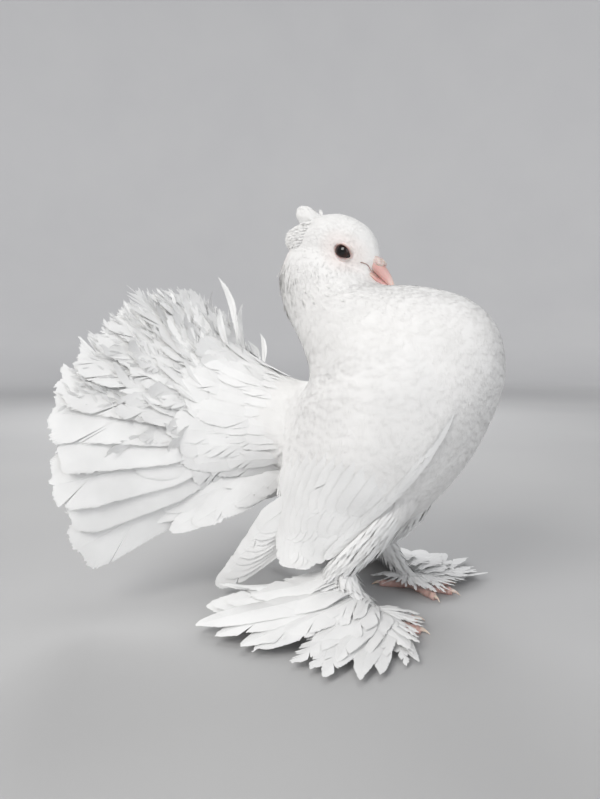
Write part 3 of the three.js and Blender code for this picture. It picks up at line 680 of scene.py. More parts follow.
def head_lie():
    """On the head they point back from the bill, and under the bill back and down."""
    for t in np.linspace(0.02, 0.99, 26):
        sizes = mix(coat("head"), coat("face"), smooth((t - 0.35) / 0.4))
        for angle in CIRCLE[::2]:
            here, behind = (head_surface(max(at, 0), angle, -HEAD_COAT) for at in (t, t - 0.03))
            yield here, behind, sizes, "head"
    for angle in CIRCLE[::4]:
        chin = head_point(25, 4 * math.sin(angle), -3 + 4 * math.cos(angle))
        yield chin, chin + head_direction(-1, 0, -0.35), coat("face"), "head"


def limb_lie(side):
    """On thigh and shank they point down the limb."""
    for region, rings, steps in (("thigh", THIGH, 18), ("shank", SHANK, 10)):
        grid = limb_rings(rings, side, steps, 14, -COAT)
        below_last = grid[-1] + np.array([0, 0, -2])
        for ring, following in zip(grid[1:], grid[2:] + [below_last]):
            for here, ahead in zip(ring, following):
                yield here, ahead, coat(region), "leg"


def wing_lie(side):
    """On the wing they point down it, and are narrower towards its edges."""
    for down in np.linspace(0.03, WING_SHELL_END, 20):
        for across in np.linspace(-0.98, 0.98, 20):
            out = wing_normal(side, down, across) * (wing_surface(down, across) - wing_sunk(down, across))
            here = wing_point(side, down, across) + out
            ahead = wing_point(side, down + 0.05, across * 0.99) + out
            edge = abs(across) ** 3
            narrow = np.array([1, 1 - 0.55 * edge, 1 - 0.3 * edge, 1 - 0.6 * abs(across)])
            yield here, ahead, coat("wing") * narrow, "wing" if down < QUILLS_START_AT else "bare"


def tail_lie():
    """On the stump, the slope and the pad they point out on to the fan."""
    centre = np.array(TAIL_BASE[0], float)
    for back_by, scale in TAIL_BASE[1]:
        for angle in CIRCLE:
            here = centre + (body_point(0, angle, -COAT) - centre) * scale - (back_by, 0, 0)
            yield here, here + unit((here - centre) * (0, 1, 1)) * 0.8 + TAIL_AXIS, coat("rump"), "tail"
    half_turn = math.radians(SADDLE_TURN - 2)
    for angle in np.linspace(-half_turn, half_turn, 40):
        for share in np.linspace(0.1, 0.95, 8):
            here, ahead = (saddle_place(angle, at, -saddle_sunk(angle))[0] for at in (share, share + 0.05))
            yield here, ahead, mix(coat("rump"), coat("tail"), share), "tail"
    for degrees in np.linspace(-PAD_TURN, PAD_TURN, 62):
        along, _, normal = tail_frame(degrees)
        for reach in (24, 33, 42, 51, 60, 69):
            thick = np.interp(reach, *zip(*TAIL_PAD))
            for face in (-1, 1):
                here = TAIL_ROOT + along * reach + normal * face * (thick - PAD_INSET) / 2
                yield here, here + along, coat("tail"), "tail"


def lie_of_the_coat():
    """Places over the flesh, each with a place where feathers there point to, their sizes and their piece."""
    yield from body_lie()
    yield from head_lie()
    for side, _ in SIDES:
        yield from limb_lie(side)
        yield from wing_lie(side)
    yield from tail_lie()


class Lie:
    """Looks up which way feathers point and how big they are near any place on the skin."""

    NEIGHBOURS = 7

    def __init__(self):
        places, aheads, sizes, self.pieces = zip(*lie_of_the_coat())
        self.flows = np.array([unit(ahead - here) for here, ahead in zip(places, aheads)])
        self.sizes = np.array(sizes)
        self.tree = KDTree(len(places))
        for i, here in enumerate(places):
            self.tree.insert(Vector(here), i)
        self.tree.balance()

    def at(self, points):
        """The way feathers point at each place, their sizes and the piece that they belong to."""
        flows, sizes, pieces = np.empty((len(points), 3)), np.empty((len(points), 4)), []
        for i, p in enumerate(points):
            found = self.tree.find_n(Vector(p), self.NEIGHBOURS)
            index = [f[1] for f in found]
            weight = np.array([1 / (f[2] + 1.0) ** 2 for f in found])
            weight /= weight.sum()
            flows[i] = weight @ self.flows[index]
            sizes[i] = weight @ self.sizes[index]
            pieces.append(self.pieces[index[0]])
        return unit(flows), sizes, np.array(pieces)


def thin_out(points, spacings):
    """Keeps points no nearer to one another than their spacing."""
    grid, kept = {}, []
    cells = np.floor(points).astype(int).tolist()
    places = points.tolist()
    for i, ((x, y, z), (cx, cy, cz), gap) in enumerate(zip(places, cells, spacings)):
        reach = range(-int(gap) - 1, int(gap) + 2)
        limit = gap * gap
        near = (grid.get((cx + dx, cy + dy, cz + dz)) for dx in reach for dy in reach for dz in reach)
        if all(q is None or (q[0] - x) ** 2 + (q[1] - y) ** 2 + (q[2] - z) ** 2 >= limit for q in near):
            grid[cx, cy, cz] = (x, y, z)
            kept.append(i)
    return np.array(kept)


# Small feathers

# Size of each feather's patch in the UV map
PATCH = 0.003
# Places tried for small feathers all over the skin
CANDIDATES = 220000
SPINE_STEPS = (0.0, 0.35, 0.7, 1.0)
# A small feather's barbs, and their rows: share of its length, spread of the barbs, half width of one
SMALL_BARBS = 7
BARB_STRIP = ((0.0, 0.16, 0.05), (0.42, 0.6, 0.105), (0.78, 0.9, 0.13))
# No coat nearer to an eye than this, as eye_distance measures, and none below this height
BARE_ROUND_EYE = 1.15
BARE_BELOW = 5.5
# The wing covers the thigh between these heights, and further out than this
COVERED_HEIGHTS = (31, 76)
COVERED_OUT_FROM = 36
# How near an eye feathers turn aside, over what distance, and how strongly
PARTING = (11, 6, 1.6)
# The bill's root, where the cere takes the coat's place: along, out, up, and how far round it
BILL_ROOT = ((28.5, 0, 7.5), 5.4)
# A small feather is left out if it strays from the skin by more than this share of its length
ASTRAY_LIMIT = 0.35
# and if the skin turns so far under it that its normals agree less than this
BEND_LIMIT = 0.45


def plant_small_feathers(ground, lie, material):
    """The small feathers all over the skin, one piece for each region."""
    roots, faces = ground.scatter(CANDIDATES)
    keep = np.flatnonzero(~hidden_from_coat(roots))
    roots, faces = roots[keep], faces[keep]
    flows, sizes, pieces = lie.at(roots)
    feathered = np.flatnonzero(pieces != "bare")
    kept = feathered[thin_out(roots[feathered], sizes[feathered, 2])]
    roots, faces, flows, sizes, pieces = (a[kept] for a in (roots, faces, flows, sizes, pieces))
    spines, normals, astray = lay_spines(ground, roots, part_round_eyes(roots, flows), sizes)
    clear = eye_distance(spines.reshape(-1, 3)).reshape(len(spines), -1).min(1) > BARE_ROUND_EYE - 0.1
    clear &= (astray < ASTRAY_LIMIT) & ((normals[:, 0] * normals[:, -1]).sum(1) > BEND_LIMIT)
    for piece in sorted(set(pieces)):
        pick = (pieces == piece) & clear
        verts, tris, uv = small_feather_mesh(spines[pick], normals[pick], sizes[pick], ground.uv[faces[pick]])
        yield make_object("plumage_" + piece, verts, tris, material, uv)


def eye_distance(points):
    """Distance from the nearer eye's opening, 1 at its rim and large elsewhere."""
    nearest = np.full(len(points), 99.0)
    half_width, half_height = EYE_OPENING
    for side, _ in SIDES:
        away = points - eye_opening(side)
        along, up = away @ head_direction(1, 0, 0), away @ head_direction(0, 0, 1)
        distance = np.hypot(along / half_width, up / half_height)
        distance += np.maximum(np.abs(away[:, 1]) - 5, 0)
        nearest = np.minimum(nearest, distance)
    return nearest


def hidden_from_coat(points):
    """Bare places: the soles, the bill's root, round the eyes and behind the wing."""
    hidden = (points[:, 2] < BARE_BELOW) | (eye_distance(points) < BARE_ROUND_EYE)
    hidden |= np.linalg.norm(points - head_point(*BILL_ROOT[0]), axis=1) < BILL_ROOT[1]
    return hidden | behind_wing(points)


def behind_wing(points):
    """Whether places of the thigh lie under the folded wing, which covers them."""
    x, y, z = points.T
    front = np.array(WING_FRONT)[::-1]
    edge = np.interp(z, front[:, 2], front[:, 0])
    low, high = COVERED_HEIGHTS
    return (z > low) & (z < high) & (x < edge + 3) & (np.abs(y) > COVERED_OUT_FROM)


def part_round_eyes(points, flows):
    """Turns the feathers in front of an eye so that they pass over and under it."""
    within, fade, strength = PARTING
    for side, _ in SIDES:
        away = points - eye_opening(side)
        near = np.clip((within - np.linalg.norm(away, axis=1)) / fade, 0, 1)[:, None]
        flows = unit(flows + unit(away) * near * strength)
    return flows


def lay_spines(ground, roots, flows, sizes):
    """Points along each feather's shaft, laid on the skin, the normals there, and how far it strays."""
    spines, normals, astray = [], [], 0.0
    here, flow = roots.copy(), flows.copy()
    lengths = sizes[:, 0] * rng.uniform(0.85, 1.15, len(roots))
    turn = rng.normal(0, 0.08, len(roots))
    previous = 0.0
    for step in SPINE_STEPS:
        target = here + flow * (lengths * (step - previous))[:, None]
        placed, normal, _ = ground.nearest(target)
        gap = np.linalg.norm(target - placed, axis=1)
        free = smooth((gap - 1.2) / 2.5)[:, None]
        placed = mix(placed, target, free)
        if step == 0:
            flow = unit(flow + unit(np.cross(normal, flow)) * turn[:, None])
        else:
            astray = np.maximum(astray, gap / (lengths * step))
            moved = placed - here
            flow = unit(mix(moved, flow * np.linalg.norm(moved, axis=1)[:, None], 0.5))
        flow = unit(flow - normal * (flow * normal).sum(1)[:, None] * (1 - free))
        spines.append(placed)
        normals.append(unit(mix(normal, normals[-1], 0.35)) if normals else normal)
        here, previous = placed, step
    return np.stack(spines, 1), np.stack(normals, 1), astray


def spine_weights(s):
    """Weights of a spine's four points for the curve through them, at s."""
    knots = SPINE_STEPS
    return np.array(
        [math.prod((s - knots[j]) / (knots[i] - knots[j]) for j in range(4) if j != i) for i in range(4)]
    )


def small_feather_mesh(spines, normals, sizes, uv, tip_spread=0.98):
    """Each feather is a fan of thin barbs: points, triangles and UV patches."""
    count = len(spines)
    half = sizes[:, 1] * rng.uniform(0.85, 1.15, count)
    lift = sizes[:, 3] * rng.uniform(0.6, 1.3, count)
    points, patches, faces = [], [], []

    def put(s, across):
        weights = spine_weights(s)
        point = np.einsum("i,nij->nj", weights, spines)
        normal = unit(mix(normals[:, 0], normals[:, 3], s))
        side = unit(np.cross(normal, spines[:, 3] - spines[:, 0]))
        rise = -0.3 + (lift + 0.3) * s**1.1 - 0.07 * half * np.asarray(across) ** 2
        points.append(point + side * (half * across)[:, None] + normal * rise[:, None])
        patches.append((float(np.mean(across)) / 2, s - 0.5))

    for k in range(SMALL_BARBS):
        x = 2 * k / (SMALL_BARBS - 1) - 1
        start = len(points)
        wobble = rng.normal(0, 0.05, count)
        for s, spread, width in BARB_STRIP:
            for sign in (-1, 1):
                put(s * (1 - 0.05 * x * x), spread * x + sign * width + wobble * s**3)
        put(1.0 - 0.24 * x * x, tip_spread * x + wobble * 1.5)
        for a in (start, start + 2):
            faces += [(a, a + 1, a + 2), (a + 1, a + 3, a + 2)]
        faces.append((start + 4, start + 5, start + 6))
    verts = np.stack(points, 1).reshape(-1, 3)
    tris = (np.array(faces)[None] + (np.arange(count) * len(points))[:, None, None]).reshape(-1, 3)
    uvs = (uv[:, None, :] + np.array(patches)[None] * PATCH).reshape(-1, 2)
    return verts, tris, uvs


# Long feathers

# Where the rows of points lie along each barb, and how far its two edges close in at its tip, as a share
BARB_ROWS = np.array((0.0, 0.4, 0.75, 0.93, 1.0))
TIP_CLOSING = 0.12
# How far a barb's lower and upper edge lie off the sheet, so that each laps over the next
RIDGE = 0.02


@dataclass
class Blade:
    """How a long feather is made. Lengths are in mm, places along it are shares of its length."""

    half: float  # half width
    spacing: float = 1.3  # from barb to barb, round the edge
    angle: float = 34  # degrees between barbs and shaft
    tip_start: float = 0.8  # where it begins to narrow
    tip_power: float = 2.2  # how blunt the tip is: 2 is round, more is squarer
    root_width: float = 0.4  # width at the root, as a share of the full one
    camber: float = 0.1  # how far the edges curve down, as a share of the half width
    wave: float = 0.25  # height of a ripple along the edges
    curl: float = 0.0  # how far the tip bends up
    edge_curl: float = 0.0  # how far the edges bend up towards the tip
    twist: float = 0.0  # turn from root to tip, in radians
    bow: tuple = (0, 0, 0)  # what bends the shaft: its middle moves by half of this
    ragged: float = 0.25  # how unevenly single barbs end
    notches: float = 0.3  # how unevenly groups of barbs end, near the tip
    splits: float = 1.0  # splits on each side, on average
    split_size: float = 3.5  # the barbs beside a split move by a fifth to three fifths of this
    split_start: float = 0.3  # how near splits come to the root, as a share of the barbs
    shaft: float = 0.7  # the shaft's radius at its root


class BladeSurface:
    """The curved surface that one long feather's shaft and barbs lie in."""

    def __init__(self, root, tip, normal, blade):
        self.root, self.tip = np.asarray(root, float), np.asarray(tip, float)
        self.bend = (self.root + self.tip) / 2 + np.asarray(blade.bow, float)
        self.normal, self.blade = unit(normal), blade
        self.length = np.linalg.norm(self.tip - self.root)
        self.phase = rng.uniform(0, 2 * math.pi)

    def at(self, s, u, rise):
        """Points at share s of the length, u mm out from the shaft and rise mm off the surface."""
        blade, t = self.blade, np.minimum(s, 1.0)[:, None]
        point = (1 - t) ** 2 * self.root + 2 * t * (1 - t) * self.bend + t**2 * self.tip
        along = unit(2 * (1 - t) * (self.bend - self.root) + 2 * t * (self.tip - self.bend))
        side = unit(np.cross(self.normal, along))
        out = np.cross(along, side)
        cos, sin = np.cos(blade.twist * t), np.sin(blade.twist * t)
        side, out = side * cos + out * sin, out * cos - side * sin
        share = u / blade.half
        height = rise - blade.camber * blade.half * share**2 + blade.curl * np.maximum(s - 0.5, 0) ** 2 * 4
        height = height + blade.edge_curl * np.abs(share) ** 3 * s
        height = height + blade.wave * share * np.sin(2 * math.pi * s * 1.6 + self.phase)
        past_tip = np.maximum(s - 1, 0)[:, None] * self.length
        return point + along * past_tip + side * u[:, None] + out * height[:, None]


def blade_outline(blade):
    """Places round one half of a feather's edge: (along, out), both from 0 to 1."""
    side = [(s, mix(blade.root_width, 1, smooth(s / 0.45))) for s in np.linspace(0.02, blade.tip_start, 40)]
    widest = side[-1][1]
    for turn in np.linspace(0, math.pi / 2, 40)[1:]:
        along = blade.tip_start + (1 - blade.tip_start) * math.sin(turn) ** (2 / blade.tip_power)
        side.append((along, widest * max(math.cos(turn), 0) ** (2 / blade.tip_power)))
    return np.array(side)


def open_splits(barbs, pitch, blade):
    """How far splits push each barb's lower and upper edge along the shaft, in mm."""
    low, high = np.zeros(barbs), np.zeros(barbs)
    index = np.arange(barbs)
    for _ in range(rng.poisson(blade.splits)):
        at = rng.integers(max(int(barbs * blade.split_start), 1), barbs)
        push = blade.split_size * rng.uniform(0.2, 0.6)
        above = np.where(index >= at, 1.0, -1.0)
        low += above * push * np.exp(-np.abs(index - at) * pitch / 5)
        high += above * push * np.exp(-np.abs(index + 1 - at) * pitch / 5)
    return low, high


def barb_lines(blade, length):
    """Where each border between barbs runs: shares of the length and distances from the shaft, row by row."""
    outline = blade_outline(blade)
    steps = np.hypot(np.diff(outline[:, 0]) * length, np.diff(outline[:, 1]) * blade.half)
    travelled = np.concatenate(([0], np.cumsum(steps)))
    barbs = max(int(travelled[-1] / blade.spacing), 8)
    edge = np.linspace(0, travelled[-1], barbs + 1)
    s_end, u_end = (np.interp(edge, travelled, outline[:, i]) for i in (0, 1))
    u_end = u_end * blade.half
    s_root = np.clip(s_end - u_end / math.tan(math.radians(blade.angle)) / length, 0.004, 0.985)
    s_root = np.maximum.accumulate(s_root)
    s = s_root[:, None] + (s_end - s_root)[:, None] * BARB_ROWS
    return s, u_end[:, None] * BARB_ROWS, edge[1]


def barb_reach(blade, s_end):
    """How far each barb's tip reaches past the outline or falls short of it, in mm, row by row."""
    barbs = len(s_end)
    uneven = np.convolve(rng.normal(0, 1, barbs + 6), np.ones(7) / 7**0.5, "valid") * blade.notches * s_end**4
    return (rng.normal(0, blade.ragged, barbs)[:, None] + uneven[:, None]) * BARB_ROWS**6


def web(surface, side, blade):
    """One side of a feather: barbs that close into a smooth sheet, apart from a few splits."""
    s, u, pitch = barb_lines(blade, surface.length)
    barbs, rows = len(s) - 1, len(BARB_ROWS)
    low, high = open_splits(barbs, pitch, blade)
    reach = barb_reach(blade, s[1:, -1])
    edges = []
    for cut, push, ridge in ((slice(0, -1), low, -RIDGE), (slice(1, None), high, RIDGE)):
        opened = push[:, None] * BARB_ROWS**2.4
        along = s[cut] + (opened + reach * 0.8) / surface.length
        edges.append([along, u[cut] + reach * 0.6, ridge + 0.12 * np.abs(opened)])
    for lower, upper in zip(edges[0][:2], edges[1][:2]):
        gap = (upper[:, -1] - lower[:, -1]) * TIP_CLOSING
        lower[:, -1] += gap
        upper[:, -1] -= gap
    points, patch = [], []
    for s_rows, u_rows, rise in edges:
        s_flat, u_flat = s_rows.ravel(), np.maximum(u_rows, 0).ravel() * side
        points.append(surface.at(s_flat, u_flat, rise.ravel()))
        patch.append(np.stack([u_flat / blade.half * 0.5, np.clip(s_flat, 0, 1)], 1))
    lower = np.arange(barbs * rows).reshape(barbs, rows)
    upper = lower + barbs * rows
    quads = np.stack([lower[:, :-1], lower[:, 1:], upper[:, 1:], upper[:, :-1]], -1).reshape(-1, 4)
    quads = quads[:, ::side]
    return np.vstack(points), np.vstack([quads[:, [0, 1, 2]], quads[:, [0, 2, 3]]]), np.vstack(patch)


def shaft(surface, radius, rows=12):
    """The feather's shaft: a thin tapered three-sided rod that stands a little out of both faces."""
    s = np.linspace(0, 0.97, rows)
    thick = radius * (1 - 0.85 * s)
    turns = (math.pi / 2, math.pi * 7 / 6, math.pi * 11 / 6)
    ring = [surface.at(s, math.cos(t) * thick, math.sin(t) * thick * 0.7) for t in turns]
    points = np.stack(ring, 1).reshape(-1, 3)
    faces = []
    for r in range(rows - 1):
        for k in range(3):
            a, b = r * 3 + k, r * 3 + (k + 1) % 3
            faces += [(a, b, a + 3), (b, b + 3, a + 3)]
    patch = np.stack([np.zeros(rows * 3), np.repeat(s, 3)], 1)
    return points, np.array(faces), patch


class Feathers:
    """Gathers feathers into one mesh, each with its patch of the skin's UV map."""

    def __init__(self, ground):
        self.ground = ground
        self.points, self.faces, self.uvs, self.count = [], [], [], 0

    def add_part(self, points, faces, uv):
        self.points.append(points)
        self.faces.append(faces + self.count)
        self.uvs.append(uv)
        self.count += len(points)

    def add(self, root, tip, normal, blade):
        """One long feather from root to tip, whose upper face looks along normal."""
        surface = BladeSurface(root, tip, normal, blade)
        _, _, face = self.ground.nearest([root])
        corner = self.ground.uv[face[0]]
        parts = web(surface, -1, blade), web(surface, 1, blade), shaft(surface, blade.shaft)
        for points, faces, patch in parts:
            self.add_part(points, faces, corner + (patch - (0, 0.5)) * PATCH)

    def add_tuft(self, roots, tips, normals, half, bow, lift=0.3, tip_spread=0.98):
        """Many small soft feathers, each bent by its bow on the way from its root to its tip."""
        steps = np.array(SPINE_STEPS)[None, :, None]
        roots, tips, bow = (np.asarray(v, float)[:, None] for v in (roots, tips, bow))
        spines = mix(roots, tips, steps) + bow * 4 * steps * (1 - steps)
        normals = np.repeat(unit(normals)[:, None], len(SPINE_STEPS), 1)
        sizes = np.zeros((len(roots), 4))
        sizes[:, 1], sizes[:, 3] = half, lift
        _, _, faces = self.ground.nearest(roots[:, 0])
        self.add_part(*small_feather_mesh(spines, normals, sizes, self.ground.uv[faces], tip_spread))

    def make(self, name, material):
        return make_object(name, np.vstack(self.points), np.vstack(self.faces), material, np.vstack(self.uvs))


# Tail

# The fan's feathers: degrees between them, how many on each side of the top one, and where their vanes begin
FAN_STEP = 10.6
FAN_EACH_SIDE = 11
FAN_FROM = 46
FAN_BLADE = Blade(
    17.5, split_start=0.62, tip_start=0.88, spacing=1.2, camber=0.05, wave=0.5, shaft=0.9, root_width=0.5,
)
UNDER_BLADE = Blade(14, tip_start=0.86, tip_power=2.6, spacing=1.5, camber=0.05, shaft=0.8)
COVERT_BLADE = Blade(13, tip_start=0.6, tip_power=2.1, spacing=1.2, camber=0.02, shaft=0.2, root_width=0.5)
# Tiers of coverts: root and tip along the fan, half width, degrees between them, height of root and tip
COVERT_TIERS = ((46, 108, 14.5, 8.5, 1.5, 1.3), (44, 94, 13.5, 8, 1.8, 1.9), (40, 80, 12, 7.5, 2.2, 2.5))
# Tiers over the slope: share of it where they start, reach on the fan, half width, degrees between, lift
SLOPE_TIERS = ((0.6, 82, 8.5, 9, 3.4), (0.34, 70, 7.5, 8, 4.2), (0.08, 58, 6.5, 8, 4.6))
SLOPE_BLADE = replace(COVERT_BLADE, camber=0.06, notches=0.6)
# Plumes and fine barbs that stand off the fan's upper half, and the degrees that they spread over
FRILL_COUNT = 50
FRILL_SPREAD = (-84, 48)
FUZZ_COUNT = 620
FUZZ_SPREAD = (-72, 46)
FRILL_BLADE = replace(
    COVERT_BLADE, tip_start=0.4, tip_power=1.8, splits=2.5, split_size=5, ragged=0.3, notches=0.35,
    camber=0.12,
)
# Feathers that close the gap between the vent and the fan's lowest edge: root, tip, half width
UNDERTAIL = (
    ((-70, 14, 88), (-128, 64, 47), 10), ((-70, 16, 86), (-116, 56, 51), 10),
    ((-71, 18, 84), (-105, 48, 56), 9), ((-72, 20, 83), (-95, 41, 62), 8), ((-72, 22, 82), (-86, 34, 68), 7),
    ((-72, 23, 81), (-79, 29, 72), 6), ((-69, 13, 89), (-139, 69, 53), 8), ((-69, 12, 90), (-132, 64, 59), 8),
    ((-70, 6, 84), (-112, 20, 58), 10), ((-72, 4, 82), (-98, 12, 62), 9), ((-72, 2, 80), (-90, 4, 66), 8),
)
UNDERTAIL_BLADE = replace(UNDER_BLADE, tip_start=0.45, tip_power=2, splits=0.3, notches=0.2, shaft=0.3)
# Loose curled feathers on the fan's top: degrees, reaches, height of the tip, half width, bow
LOOSE_FEATHERS = (
    (4, (70, 118), 30, 2.3, (9, 0, 8)), (10, (62, 96), 26, 2.0, (-8, 0, 5)),
    (-6, (66, 94), 22, 2.3, (-7, 0, 3)), (20, (52, 78), 20, 1.8, (5, 0, 5)),
    (26, (58, 88), 9, 2.2, (4, 0, 4)),
)
LOOSE_BLADE = replace(
    COVERT_BLADE, tip_start=0.55, tip_power=1.5, splits=0.4, camber=0.5, edge_curl=1,
    ragged=0.12, notches=0.3, shaft=0.35, spacing=0.8, root_width=0.05, twist=1.3,
)


def tail_feather(feathers, degrees, reaches, shingle, heights, blade):
    """A feather that lies along the fan, from one reach and height over it to another."""
    along, around, normal = tail_frame(degrees)
    tilt = math.radians(shingle) * np.sign(degrees)
    facing = normal * math.cos(tilt) - around * math.sin(tilt)
    root, tip = (TAIL_ROOT + along * reach + normal * height for reach, height in zip(reaches, heights))
    feathers.add(root, tip, facing, blade)


def fan_row(feathers):
    """The fan's broad flight feathers, more frilled towards the top."""
    for k in range(-FAN_EACH_SIDE, FAN_EACH_SIDE + 1):
        degrees = k * FAN_STEP + rng.normal(0, 1.0)
        reach = mix(*TAIL_LENGTH, topness(degrees)) + rng.uniform(-5, 4)
        frill = topness(degrees * 0.75)
        blade = replace(
            FAN_BLADE, splits=0.35 + 3 * frill, split_size=2.5 + 4 * frill, ragged=0.25 + 0.45 * frill,
            curl=rng.uniform(-1, 2) + 5 * frill * rng.random(), twist=rng.normal(0, 0.06),
            tip_power=rng.uniform(2.6, 4), edge_curl=2.5 * frill * rng.random(), notches=1.0 + 1.2 * frill,
        )
        tail_feather(feathers, degrees, (FAN_FROM, reach), 12, (0.8, 2.4 if k == 0 else 0.4), blade)


def under_row(feathers):
    """A second row behind the first, between its feathers."""
    for k in range(-FAN_EACH_SIDE, FAN_EACH_SIDE):
        degrees = (k + 0.5) * FAN_STEP + rng.normal(0, 1)
        reach = mix(*TAIL_LENGTH, topness(degrees)) - rng.uniform(2, 9)
        blade = replace(UNDER_BLADE, splits=1, curl=rng.uniform(-1, 1.5), notches=1.2)
        tail_feather(feathers, degrees, (FAN_FROM, reach), 10, (-2.2, -3.2), blade)


def make_tail(ground, material):
    feathers = Feathers(ground)
    fan_row(feathers)
    under_row(feathers)
    for side, _ in SIDES:
        for root, tip, half in UNDERTAIL:
            root, tip = (np.array(v) * (1, side, 1) for v in (root, tip))
            feathers.add(root, tip, (0.35, side, 0.05), replace(UNDERTAIL_BLADE, half=half))
    return feathers.make("tail_feathers", material)


def make_tail_coverts(ground, material):
    """Shorter feathers over the tail's root, in tiers on both faces."""
    feathers = Feathers(ground)
    for face in (1, -1):
        for start, end, half, step, rise, lift in COVERT_TIERS:
            each = int(120 / step)
            for k in range(-each, each + 1):
                degrees = k * step + rng.normal(0, 1.2)
                ruffle = topness(degrees * 0.8) * (1 if face > 0 else 0.4)
                blade = replace(
                    COVERT_BLADE, half=half * rng.uniform(0.9, 1.1),
                    splits=0.2 + 1.5 * ruffle, ragged=0.15 + 0.3 * ruffle, notches=0.4 + 0.7 * ruffle,
                    curl=5 * face * ruffle * rng.random() ** 2,
                    edge_curl=3 * face * ruffle * rng.random() ** 2,
                    twist=0.2 * ruffle * rng.normal(),
                )
                heights = (face * rise, face * (lift + 3 * ruffle * rng.random() ** 2))
                tail_feather(feathers, degrees, (start, end + rng.uniform(-9, 8)), face * 3, heights, blade)
    return feathers.make("tail_coverts", material)


def make_tail_slope(ground, material):
    """Soft feathers that run from the rump over the slope and out on to the fan."""
    feathers = Feathers(ground)
    for share, reach, half, step, lift in SLOPE_TIERS:
        each = int(112 / step)
        for k in range(-each, each + 1):
            degrees = k * step + rng.normal(0, 1.5)
            angle = math.radians(degrees)
            root, out = saddle_place(angle, share + rng.uniform(-0.06, 0.06), -1.5 - saddle_sunk(angle))
            along, _, normal = tail_frame(degrees)
            tip = TAIL_ROOT + along * (reach + rng.uniform(-6, 6)) + normal * (lift + rng.uniform(0, 1.2))
            blade = replace(SLOPE_BLADE, half=half * rng.uniform(0.85, 1.1), bow=out * 1.5)
            feathers.add(root, tip, unit(mix(out, normal, 0.5)), blade)
    return feathers.make("tail_slope", material)


def make_tail_frills(ground, material):
    """Soft curled plumes that stand off the fan's upper half, fine barbs, and a few long loose feathers."""
    feathers = Feathers(ground)
    for k in range(FRILL_COUNT):
        degrees = mix(*FRILL_SPREAD, (k + rng.uniform(-0.4, 0.4)) / (FRILL_COUNT - 1))
        along, around, normal = tail_frame(degrees)
        start = rng.uniform(50, 110)
        length = min(rng.uniform(24, 40), mix(144, 131, topness(degrees)) - start)
        yaw = math.radians(rng.normal(0, 14))
        root = TAIL_ROOT + along * start + normal * rng.uniform(1.2, 2.4)
        tip = root + (along * math.cos(yaw) + around * math.sin(yaw)) * length + normal * rng.uniform(0.5, 5)
        blade = replace(
            FRILL_BLADE, half=rng.uniform(4.5, 8), curl=rng.uniform(0, 6), edge_curl=rng.uniform(-1, 3.5),
            twist=rng.normal(0, 0.3),
        )
        feathers.add(root, tip, normal + around * rng.normal(0, 0.15), blade)
    feathers.add_tuft(*tail_fuzz(), half=1.0, bow=[(0, 0, 0)], lift=0.4, tip_spread=0.25)
    loose_feathers(feathers)
    return feathers.make("tail_frills", material)


def loose_feathers(feathers):
    """Long slender feathers that stand up from the fan's top."""
    for degrees, reaches, rise, half, bow in LOOSE_FEATHERS:
        along, around, normal = tail_frame(degrees)
        root = TAIL_ROOT + along * reaches[0] + normal * 2.5
        tip = TAIL_ROOT + along * reaches[1] + normal * rise
        feathers.add(root, tip, around + 0.4 * normal, replace(LOOSE_BLADE, half=half, bow=bow))


def tail_fuzz():
    """Fine loose barbs over the fan's upper half, thickest near its rim: roots, tips and normals."""
    roots, tips, normals = [], [], []
    for _ in range(FUZZ_COUNT):
        degrees = rng.uniform(*FUZZ_SPREAD)
        along, around, normal = tail_frame(degrees)
        rim = mix(*TAIL_LENGTH, topness(degrees))
        start = rim - 8 - 62 * rng.random() ** 1.6
        way = unit(along + around * rng.normal(0, 0.45) + normal * rng.uniform(0.05, 0.6))
        roots.append(TAIL_ROOT + along * start + normal * rng.uniform(0.5, 3))
        tips.append(roots[-1] + way * rng.uniform(7, 13))
        normals.append(normal + around * rng.normal(0, 0.7))
    return np.array(roots), np.array(tips), np.array(normals)


# Wings

# How deep the roots of the wing's rows lie under the skin, and how much narrower their end feathers are
WING_ROOT_DEPTH = 1.0
END_NARROWING = 0.55
# The row along the front edge, in shares of the wing: where it runs, its step, its feathers' length, their
# roots and tips across the wing, and then how far it rises in mm
EDGE_FROM, EDGE_TO, EDGE_STEP, EDGE_LENGTH = 0.25, 0.76, 0.04, 0.21
EDGE_ACROSS = (-0.955, -0.975)
EDGE_RISE = 0.9
# The folded primaries: how many, and the places of the longest and the shortest one's tip
PRIMARIES = 9
PRIMARY_TIPS = ((-112, 46, 7), (-74, 41, 50))
SECONDARY = Blade(
    9, tip_start=0.88, tip_power=2.8, splits=0.5, shaft=0.5, camber=0.06, ragged=0.15, wave=0.08,
)
WING_COVERT = Blade(
    8.5, tip_start=0.7, tip_power=2.2, splits=0.2, shaft=0.12, camber=0.02, ragged=0.12, wave=0.06,
)
EDGE_COVERT = replace(WING_COVERT, half=3.6, tip_start=0.5)
PRIMARY = Blade(8, tip_start=0.66, tip_power=1.9, splits=0.4, shaft=0.9, camber=0.04, angle=30, ragged=0.12)
# Rows of wing feathers, lowest first: how many, roots, line of tips, height of the tips, blade.
# Places are (down, across).
WING_ROWS = (
    (11, ((0.52, -0.74), (0.52, 0.78)),
     ((0.9, -0.84), (0.94, -0.5), (0.97, -0.1), (0.99, 0.3), (0.96, 0.66), (0.86, 0.93)), 0.4, SECONDARY),
    (11, ((0.48, -0.76), (0.48, 0.8)),
     ((0.82, -0.84), (0.83, -0.4), (0.85, 0), (0.86, 0.4), (0.8, 0.88)), 1.2, WING_COVERT),
    (12, ((0.44, -0.78), (0.44, 0.82)),
     ((0.69, -0.86), (0.71, -0.4), (0.73, 0), (0.73, 0.4), (0.68, 0.88)), 1.9, WING_COVERT),
)


